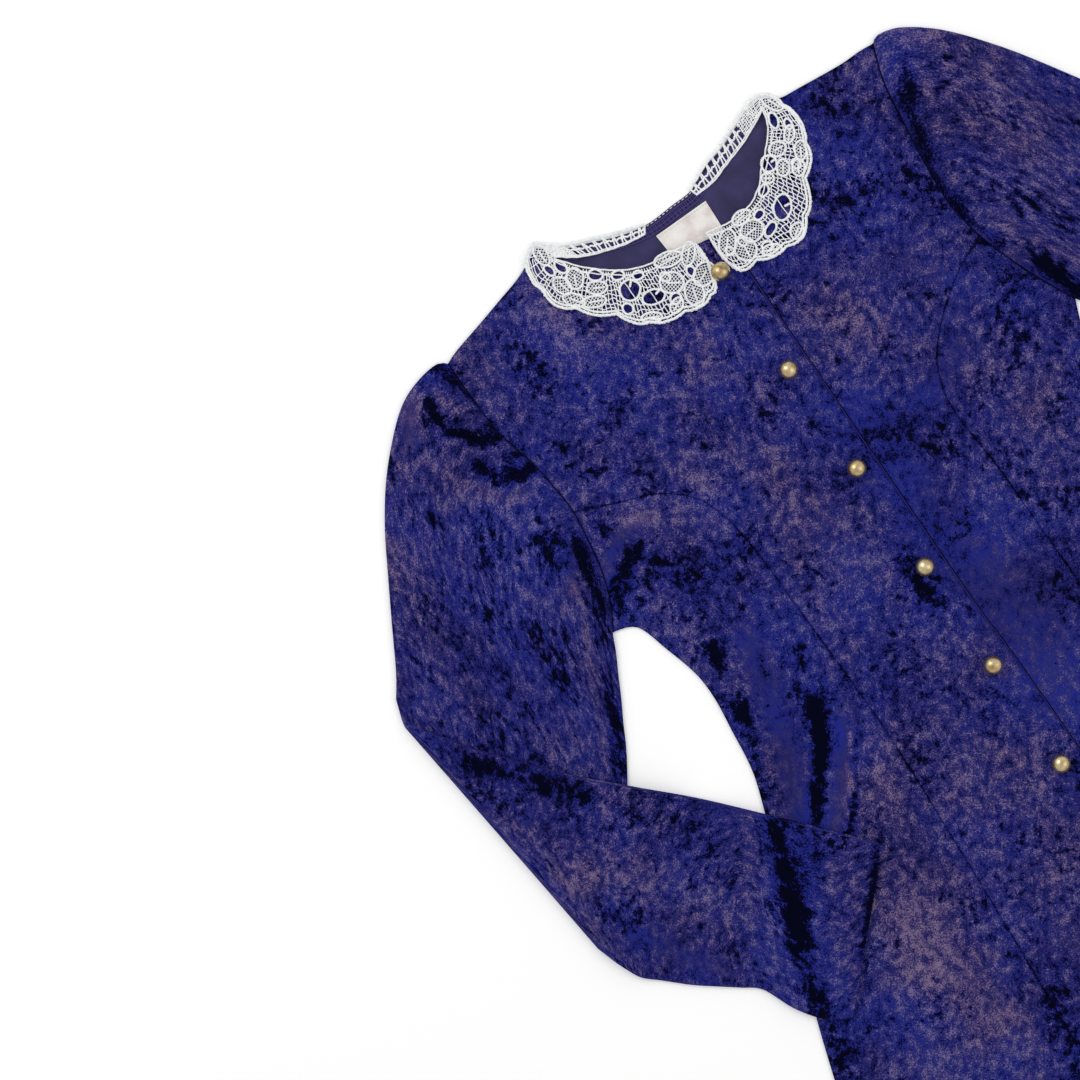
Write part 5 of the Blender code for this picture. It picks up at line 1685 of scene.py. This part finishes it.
@dataclass
class NeckLabel:
    """The plain woven label inside the back of the neck, sewn down along its top."""

    plan: DressPlan
    corners: tuple = ((-22.0, 46.5), (-20.5, 24.0), (19.5, 22.0), (20.5, 47.0))
    across: int = 40
    along: int = 24
    thickness: float = 0.5
    above: float = 0.35
    curl: float = 0.5
    unevenness: Table = ((0.3, 14.0, 8.0),)
    stitch_step: float = 0.058
    stitch_length: float = 0.04
    stitch_drop: float = 1.6
    stitch: tuple[float, ...] = (1.0, 1.22, 1.22, 1.0)
    thread: float = 0.22

    def build(self, tape: Material, white: Material) -> list:
        """Make the label and the stitches that hold it."""
        u, v = np.meshgrid(np.linspace(0, 1, self.across), np.linspace(0, 1, self.along),
                           indexing="ij")
        u, v = u.ravel(), v.ravel()
        left_top, left_low, right_low, right_top = (np.array(c) for c in self.corners)
        top = left_top + (right_top - left_top) * u[:, None]
        low = left_low + (right_low - left_low) * u[:, None]
        spots = top + (low - top) * v[:, None]
        curl = self.curl * (0.5 + 0.5 * np.cos(math.tau * u)) + ripple(spots, self.unevenness)
        under = self.plan.cloth + self.above + np.maximum(v * curl, 0.0)
        cloth = Cloth()
        blank = np.zeros((len(spots), 3))
        quads = [(i * self.along + j, i * self.along + j + 1, (i + 1) * self.along + j + 1,
                  (i + 1) * self.along + j)
                 for i in range(self.across - 1) for j in range(self.along - 1)]
        cloth.shell(spots, (under + self.thickness, under), (spots, blank), quads, (0, 0))
        piece = cloth.make("neck_label", self.plan, [tape])
        declare(piece, Slot.TAPE, "label")
        seam = Strands(self.plan)
        for step in np.arange(0.03, 0.97, self.stitch_step):
            start = left_top + (right_top - left_top) * step - np.array([0.0, self.stitch_drop])
            ahead = np.linspace(0, self.stitch_length, len(self.stitch))[:, None]
            line = start + (right_top - left_top) * ahead
            height = self.plan.cloth + np.array(self.stitch)
            seam.add(np.column_stack([line, height]), self.thread)
        return [piece, declare(seam.make("stitches_label", white), Slot.TAPE)]


def linear(code: str) -> tuple[float, float, float, float]:
    """Turn an sRGB hex colour, such as "28286a", into linear red, green, blue and alpha."""
    parts = [int(code[i:i + 2], 16) / 255.0 for i in (0, 2, 4)]
    return (*(p / 12.92 if p <= 0.04045 else ((p + 0.055) / 1.055) ** 2.4 for p in parts), 1.0)


def feed(tree: Tree, made: Node, inputs: dict) -> None:
    """Set a node's inputs, by name or number.

    Args:
        tree: The tree that the node is in.
        made: The node.
        inputs: For each input a value, the output that feeds it, or a node whose first
            output feeds it.
    """
    for socket, value in inputs.items():
        if isinstance(value, Node):
            value = value.outputs[0]
        if isinstance(value, Socket):
            tree.links.new(value, made.inputs[socket])
        else:
            made.inputs[socket].default_value = value


def node(tree: Tree, kind: str, inputs: dict | None = None,
         stops: Stops = (), **settings: object) -> Node:
    """Add a node.

    Args:
        tree: The tree that it goes into.
        kind: The node's type.
        inputs: What its inputs are set to or fed by.
        stops: For a colour ramp, its places and their sRGB colours.
        **settings: The node's own settings.

    Returns:
        The new node.
    """
    made = tree.nodes.new(kind)
    for name, value in settings.items():
        setattr(made, name, value)
    feed(tree, made, inputs or {})
    for index, (place, code) in enumerate(stops):
        elements = made.color_ramp.elements
        element = elements[index] if index < len(elements) else elements.new(1.0)
        element.position = place
        element.color = linear(code)
    return made


def plain_material(name: str) -> tuple[Material, Tree, Node]:
    """Return a new material with its node tree and its shader."""
    material = bpy.data.materials.new(name)
    material.use_nodes = True
    return material, material.node_tree, material.node_tree.nodes["Principled BSDF"]


@dataclass(frozen=True)
class Mottle:
    """One layer of the velvet's mottling: its largest marks in mm, its detail and roughness."""

    size: float
    detail: float
    rough: float

    def on(self, tree: Tree, place: object) -> Node:
        """Return the layer as noise over places on the flat cloth, in mm."""
        return node(tree, "ShaderNodeTexNoise", {
            "Vector": place, "Scale": 1.0 / self.size, "Detail": self.detail,
            "Roughness": self.rough}, noise_dimensions="2D")


@dataclass(frozen=True)
class CrushedVelvet:
    """Polyester crushed velvet: a knitted ground whose pile was wrung and pressed flat.

    Pile that leans away from the light is almost black, pile beside it shines a clear blue,
    and pile that leans to the light is a grainy mauve. Where it lies smooth it is plain indigo.
    """

    warp: Mottle = Mottle(26.0, 2.0, 0.5)
    crush: Mottle = Mottle(7.0, 7.0, 0.72)
    blotch: Mottle = Mottle(7.0, 6.0, 0.72)
    clump: Mottle = Mottle(36.0, 3.0, 0.55)
    drift: Mottle = Mottle(85.0, 2.0, 0.5)
    grain: Mottle = Mottle(1.1, 2.0, 0.9)
    tint: Mottle = Mottle(68.0, 3.0, 0.6)
    warp_reach: float = 7.0
    lengthwise: float = 0.8
    calm_share: float = 0.32
    crush_share: float = 2.2
    drift_share: float = 0.7
    clump_share: float = 0.6
    nap_and_shading_share: float = 0.42
    dark_from_nap_and_shading: float = -0.2
    dark_calm: float = -0.22
    dark_from: float = 0.545
    dark_to: float = 0.69
    darkest: float = 0.55
    fine_grain: float = 1.7
    light_grain: float = 2.3
    light_from: float = 0.42
    light_to: float = 0.75
    warm_start: float = 0.42
    tint_share: float = 2.4
    warm_calm: float = 0.35
    warm_share: float = 0.5
    roughness: float = 0.7
    calm_gloss: float = 0.22
    cool_pile: Stops = (
        (0.0, "02021a"), (0.12, "05062a"), (0.22, "12165c"), (0.30, "1b2176"), (0.37, "2530a4"),
        (0.45, "20277c"), (0.54, "25296b"), (0.66, "323276"), (0.80, "484483"), (1.0, "746c9e"))
    warm_pile: Stops = (
        (0.0, "02021a"), (0.12, "06062a"), (0.22, "131350"), (0.32, "1d1f6a"), (0.42, "22245c"),
        (0.52, "2a265f"), (0.64, "3f3570"), (0.78, "524574"), (0.90, "6a5780"), (1.0, "837190"))

    def make(self) -> Material:
        """Make the material."""
        material, tree, shader = plain_material("crushed velvet")
        place = node(tree, "ShaderNodeVectorMath", {
            0: node(tree, "ShaderNodeUVMap", uv_map="cloth"), "Scale": 1.0 / MM,
        }, operation="SCALE")
        brush_and_shading = node(tree, "ShaderNodeAttribute", attribute_name="brush_and_shading").outputs["Vector"]
        # The first value is the pile's nap with painted light on fold crests and painted shade in
        # hollows and seams
        nap_and_shading, calm, warmth = node(tree, "ShaderNodeSeparateXYZ", {0: brush_and_shading}).outputs
        wrung = self.wrung(tree, place)
        loose = self.softly(tree, calm, (1.0, self.calm_share), (0.0, 1.0))
        tone = self.tone(tree, (place, wrung), (nap_and_shading, calm), loose)
        coarse = self.softly(tree, tone, (self.fine_grain, self.light_grain),
                             (self.light_from, self.light_to))
        coarse = node(tree, "ShaderNodeMath", {0: coarse, 1: loose}, operation="MULTIPLY")
        tone = self.varied(tree, tone, self.grain.on(tree, place), 1.0, coarse)
        warm = self.varied(tree, self.warm_start, self.tint.on(tree, place), self.tint_share)
        warm = node(tree, "ShaderNodeMath", {0: calm, 1: self.warm_calm, 2: warm},
                    operation="MULTIPLY_ADD")
        warm = node(tree, "ShaderNodeMath", {0: warmth, 1: self.warm_share, 2: warm},
                    operation="MULTIPLY_ADD", use_clamp=True)
        colour = node(tree, "ShaderNodeMix", {
            "Factor": warm,
            6: node(tree, "ShaderNodeValToRGB", {"Fac": tone}, self.cool_pile),
            7: node(tree, "ShaderNodeValToRGB", {"Fac": tone}, self.warm_pile),
        }, data_type="RGBA").outputs[2]
        gloss = self.softly(tree, calm, (self.roughness, self.roughness - self.calm_gloss),
                            (0.0, 1.0))
        bump = node(tree, "ShaderNodeBump", {"Strength": 0.5, "Distance": 0.0007, "Height": tone})
        feed(tree, shader, {
            "Base Color": colour, "Roughness": gloss, "Specular IOR Level": 0.03,
            "Sheen Weight": 0.03, "Sheen Roughness": 0.4, "Sheen Tint": linear("6f74d8"),
            "Normal": bump})
        return material

    def wrung(self, tree: Tree, place: Node) -> Node:
        """Return the places shifted as the wringing of the cloth pulled them."""
        warp = node(tree, "ShaderNodeVectorMath", {
            0: self.warp.on(tree, place).outputs["Color"], 1: (0.5, 0.5, 0.5),
        }, operation="SUBTRACT")
        return node(tree, "ShaderNodeVectorMath", {
            0: warp, 1: (self.warp_reach,) * 3, 2: place}, operation="MULTIPLY_ADD")

    def tone(self, tree: Tree, places: tuple, brushing_and_shading: tuple, loose: Node) -> Node:
        """Return how light the pile is, from 0 to 1, before its finest grain.

        Args:
            tree: The material's tree.
            places: The places on the flat cloth, and the same places wrung.
            brushing_and_shading: How the pile is brushed, with the painted shading of folds and
                seams, and how calm it lies.
            loose: How much of the mottling is left where the pile lies calm.
        """
        place, wrung = places
        nap_and_shading, calm = brushing_and_shading
        long = node(tree, "ShaderNodeVectorMath", {0: wrung, 1: (1.0, self.lengthwise, 1.0)},
                    operation="MULTIPLY")
        light = self.varied(tree, 0.5, self.crush.on(tree, long), self.crush_share, loose)
        light = self.varied(tree, light, self.drift.on(tree, place), self.drift_share)
        # Painted light and shade: lighter on fold crests, darker in fold hollows and along seams
        light = node(tree, "ShaderNodeMath", {0: nap_and_shading, 1: self.nap_and_shading_share, 2: light},
                     operation="MULTIPLY_ADD")
        dark = self.varied(tree, self.blotch.on(tree, wrung), self.clump.on(tree, wrung),
                           self.clump_share)
        for pull, share in ((nap_and_shading, self.dark_from_nap_and_shading), (calm, self.dark_calm)):
            dark = node(tree, "ShaderNodeMath", {0: pull, 1: share, 2: dark},
                        operation="MULTIPLY_ADD")
        dark = self.softly(tree, dark, (0.0, self.darkest), (self.dark_from, self.dark_to))
        return node(tree, "ShaderNodeMath", {0: light, 1: dark}, operation="SUBTRACT")

    @staticmethod
    def varied(tree: Tree, start: object, mottle: Node,
               share: float, by: Node | float = 1.0) -> Node:
        """Return start plus a share of how far a mottle is from its middle."""
        level = node(tree, "ShaderNodeMath", {0: mottle, 1: 0.5}, operation="SUBTRACT")
        level = node(tree, "ShaderNodeMath", {0: level, 1: by}, operation="MULTIPLY")
        return node(tree, "ShaderNodeMath", {0: level, 1: share, 2: start},
                    operation="MULTIPLY_ADD")

    @staticmethod
    def softly(tree: Tree, value: object, ends: tuple[float, float],
               reach: tuple[float, float]) -> Node:
        """Return what goes softly from one end to the other as a value crosses its reach."""
        return node(tree, "ShaderNodeMapRange", {
            "Value": value, "From Min": reach[0], "From Max": reach[1], "To Min": ends[0],
            "To Max": ends[1]}, interpolation_type="SMOOTHSTEP")


@dataclass(frozen=True)
class WrongSide:
    """The knitted back of the velvet: a smooth, close knit, a little duller than the pile."""

    wale: float = 0.9
    shades: Stops = ((0.25, "1e1a45"), (0.5, "2a2656"), (0.75, "343064"))

    def make(self) -> Material:
        """Make the material."""
        material, tree, shader = plain_material("velvet wrong side")
        place = node(tree, "ShaderNodeTexCoord").outputs["Object"]
        cloud = node(tree, "ShaderNodeTexNoise", {"Vector": place, "Scale": 60.0, "Detail": 3.0})
        ribs = node(tree, "ShaderNodeTexWave", {
            "Vector": place, "Scale": 1.0 / MM / self.wale / math.tau, "Distortion": 1.5,
            "Detail": 2.0}, bands_direction="X").outputs["Fac"]
        feed(tree, shader, {
            "Base Color": node(tree, "ShaderNodeValToRGB", {"Fac": cloud}, self.shades),
            "Roughness": 0.8, "Sheen Weight": 0.15,
            "Normal": node(tree, "ShaderNodeBump", {
                "Strength": 0.35, "Distance": 0.0004, "Height": ribs})})
        return material


@dataclass(frozen=True)
class CordedLace:
    """Cotton guipure lace: soft white plied yarn, a little fuzzy, greyer down between its cords."""

    fibre: float = 0.7
    shades: Stops = ((0.25, "dde1e4"), (0.45, "f5f7f8"), (0.65, "ffffff"))

    def make(self) -> Material:
        """Make the material."""
        material, tree, shader = plain_material("corded cotton lace")
        place = node(tree, "ShaderNodeTexCoord").outputs["Object"]
        cloud = node(tree, "ShaderNodeTexNoise", {
            "Vector": place, "Scale": 1.0 / MM / (3.0 * self.fibre), "Detail": 3.0})
        fuzz = node(tree, "ShaderNodeTexNoise", {
            "Vector": place, "Scale": 1.0 / MM / self.fibre, "Detail": 2.0})
        feed(tree, shader, {
            "Base Color": node(tree, "ShaderNodeValToRGB", {"Fac": cloud}, self.shades),
            "Roughness": 0.9, "Specular IOR Level": 0.2,
            "Normal": node(tree, "ShaderNodeBump", {
                "Strength": 0.5, "Distance": 0.0003, "Height": fuzz})})
        return material


@dataclass(frozen=True)
class SewingThread:
    """Spun polyester sewing thread, matt and in one colour."""

    name: str
    colour: str
    shine: float = 0.3

    def make(self) -> Material:
        """Make the material."""
        material, tree, shader = plain_material(self.name)
        place = node(tree, "ShaderNodeTexCoord").outputs["Object"]
        twist = node(tree, "ShaderNodeTexNoise", {"Vector": place, "Scale": 1200.0})
        shade = node(tree, "ShaderNodeMapRange", {"Value": twist, "To Min": 0.75, "To Max": 1.2})
        feed(tree, shader, {
            "Base Color": node(tree, "ShaderNodeVectorMath", {
                0: linear(self.colour)[:3], "Scale": shade}, operation="SCALE"),
            "Roughness": 0.65, "Specular IOR Level": self.shine})
        return material


@dataclass(frozen=True)
class LabelTape:
    """Woven satin label tape, off-white, with the faint ribs of its weave."""

    rib: float = 0.6
    shades: Stops = ((0.3, "ded1cd"), (0.5, "efeae6"), (0.7, "f5f2ef"))

    def make(self) -> Material:
        """Make the material."""
        material, tree, shader = plain_material("woven label tape")
        place = node(tree, "ShaderNodeTexCoord").outputs["Object"]
        cloud = node(tree, "ShaderNodeTexNoise", {"Vector": place, "Scale": 90.0, "Detail": 4.0})
        ribs = node(tree, "ShaderNodeTexWave", {
            "Vector": place, "Scale": 1.0 / MM / self.rib / math.tau},
            bands_direction="Y").outputs["Fac"]
        feed(tree, shader, {
            "Base Color": node(tree, "ShaderNodeValToRGB", {"Fac": cloud}, self.shades),
            "Roughness": 0.55,
            "Normal": node(tree, "ShaderNodeBump", {
                "Strength": 0.3, "Distance": 0.0002, "Height": ribs})})
        return material


@dataclass(frozen=True)
class AntiqueBrass:
    """Pressed brass ball with a pearly gold lacquer, worn darker in patches."""

    patch: float = 2.2
    shades: Stops = ((0.25, "8a7050"), (0.45, "c8ad7c"), (0.6, "dfcea2"), (0.8, "f2e8c8"))

    def make(self) -> Material:
        """Make the material."""
        material, tree, shader = plain_material("lacquered antique brass")
        place = node(tree, "ShaderNodeTexCoord").outputs["Object"]
        wear = node(tree, "ShaderNodeTexNoise", {
            "Vector": place, "Scale": 1.0 / MM / (3.0 * self.patch), "Detail": 4.0,
            "Roughness": 0.6})
        dents = node(tree, "ShaderNodeTexNoise", {"Vector": place, "Scale": 420.0})
        feed(tree, shader, {
            "Base Color": node(tree, "ShaderNodeValToRGB", {"Fac": wear}, self.shades),
            "Metallic": 1.0,
            "Roughness": node(tree, "ShaderNodeMapRange", {
                "Value": wear, "To Min": 0.46, "To Max": 0.24}),
            "Coat Weight": 0.5, "Coat Roughness": 0.12,
            "Normal": node(tree, "ShaderNodeBump", {
                "Strength": 0.12, "Distance": 0.0004, "Height": dents})})
        return material


@dataclass
class Stage:
    """The pale table, the soft studio light and the camera above it."""

    plan: DressPlan
    view: tuple[float, float] = (-210.3, -82.5)
    turn: float = -34.69
    frame: float = 756.0
    lens: float = 100.0
    sensor: float = 36.0
    cloth_height: float = 6.0
    table: float = 4.0
    sky: float = 0.66
    glow: float = 0.14

    def build(self) -> None:
        """Make the table, the lights and the camera."""
        scene = bpy.context.scene
        scene.view_settings.view_transform = "Standard"
        world = bpy.data.worlds.new("studio")
        scene.world = world
        world.use_nodes = True
        feed(world.node_tree, world.node_tree.nodes["Background"], {
            "Color": linear("ffffff"), "Strength": self.sky})
        self.floor()
        centre = Vector((*(self.plan.place(np.array([*self.view, 0.0]))[:2]), 0.0))
        self.lamp("key", centre + Vector((-0.5, 1.25, 1.5)), centre, 1.1, 11.0)
        self.lamp("fill", centre + Vector((1.3, -0.9, 1.6)), centre, 1.4, 6.0)
        data = bpy.data.cameras.new("camera")
        data.lens = self.lens
        data.sensor_width = self.sensor
        data.clip_end = 50.0
        camera = placed("camera", data)
        distance = self.frame * MM * self.lens / self.sensor
        camera.location = centre + Vector((0.0, 0.0, distance + self.cloth_height * MM))
        camera.rotation_euler = (0.0, 0.0, math.radians(self.turn))
        scene.camera = camera

    def floor(self) -> None:
        """Make the table top, with the faintest tooth of a painted board."""
        half = self.table
        mesh = bpy.data.meshes.new("table_top")
        mesh.from_pydata([(-half, -half, 0.0), (half, -half, 0.0), (half, half, 0.0),
                          (-half, half, 0.0)], [], [(0, 1, 2, 3)])
        material, tree, shader = plain_material("painted table")
        place = node(tree, "ShaderNodeTexCoord").outputs["Object"]
        tooth = node(tree, "ShaderNodeTexNoise", {"Vector": place, "Scale": 400.0})
        feed(tree, shader, {
            "Base Color": linear("fbfbfb"), "Emission Color": linear("ffffff"),
            "Emission Strength": self.glow, "Roughness": 0.85, "Specular IOR Level": 0.1,
            "Normal": node(tree, "ShaderNodeBump", {
                "Strength": 0.04, "Distance": 0.0005, "Height": tooth})})
        mesh.materials.append(material)
        placed("table_top", mesh)

    @staticmethod
    def lamp(name: str, place: Vector, target: Vector, size: float, power: float) -> None:
        """Make one square soft light that looks at a target."""
        data = bpy.data.lights.new(name, "AREA")
        data.size = size
        data.energy = power
        lamp = placed(name, data)
        lamp.location = place
        lamp.rotation_euler = (target - place).to_track_quat("-Z", "Y").to_euler()


def main() -> None:
    """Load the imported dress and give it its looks."""
    logging.basicConfig(level=logging.INFO, format="%(message)s")
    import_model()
    low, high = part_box("button_01")
    plan = DressPlan(origin=(low + high) / 2)
    Stage(plan).build()
    velvet = CrushedVelvet().make()
    wrong = WrongSide().make()
    FrontPanels(plan).build(velvet, wrong)
    BackPanel(plan).build(velvet, wrong)
    lace = CordedLace().make()
    rest = HeightField(plan.top, *COLLAR_AREA, step=1.5)
    rest.drape(flat=8.0, slope=0.35, reach=20.0)
    rest.soften(3)
    LaceCollar("collar_right", plan, RIGHT_COLLAR_RIBS, RIGHT_LACE_GAPS, RIGHT_PETALS,
               rest).build(lace)
    LaceCollar("collar_left", plan, LEFT_COLLAR_RIBS, LEFT_LACE_GAPS, LEFT_PETALS,
               rest).build(lace)
    purple = SewingThread("purple thread", "4a3d82").make()
    white = SewingThread("white thread", "e6e6e8").make()
    NeckFinish(plan).build(purple, white)
    NeckLabel(plan).build(LabelTape().make(), white)
    BallButtons(plan).build(AntiqueBrass().make())
    # Near-black roll colour: painted shade in the armhole seams and a painted shadow beside the lap
    seam_shadow_roll = SewingThread("velvet seam roll painted shade", "0a0826", 0.03).make()
    rolled = RolledEdges(plan)
    rolled.build(seam_shadow_roll)
    rolled.lap(SewingThread("velvet turned edge painted highlight", "2c2b72", 0.03).make(), seam_shadow_roll)
    straight = PressedSleeve("sleeve_left", plan, LEFT_SLEEVE, plan.left_armhole,
                             Brushwork(LEFT_SLEEVE_STROKES), 1)
    straight.build(velvet, wrong)
    folded = PressedSleeve("sleeve_right", plan, RIGHT_UPPER_SLEEVE, plan.right_armhole,
                           Brushwork(UPPER_SLEEVE_STROKES), -1, forearm=RIGHT_FOREARM,
                           forearm_brushwork=Brushwork(FOREARM_STROKES))
    folded.support = forearm_support(plan, folded)
    folded.build(velvet, wrong)


def forearm_support(plan: DressPlan, sleeve: PressedSleeve) -> HeightField:
    """Return the heights of what the folded forearm lies on, draped as cloth drapes."""
    rows = through(RIGHT_UPPER_SLEEVE, plan.spacing * 4)
    cover = [row[:2] for row in rows] + [ELBOW_LINE[0], ELBOW_LINE[1]]
    cover += [row[2:4] for row in reversed(rows)]

    def heights(spots: np.ndarray) -> np.ndarray:
        """Return the height of the front, or of the upper sleeve where that is higher."""
        limit = np.minimum(sleeve.elbow_limit(spots) + 0.4, 7.0)
        return np.maximum(plan.top(spots), np.where(inside(cover, spots), limit, 0.0))

    found = HeightField(heights, *FOREARM_AREA, step=4.0)
    found.drape(flat=20.0, slope=0.2, reach=50.0)
    found.soften(6)
    return found


if __name__ == "__main__":
    main()
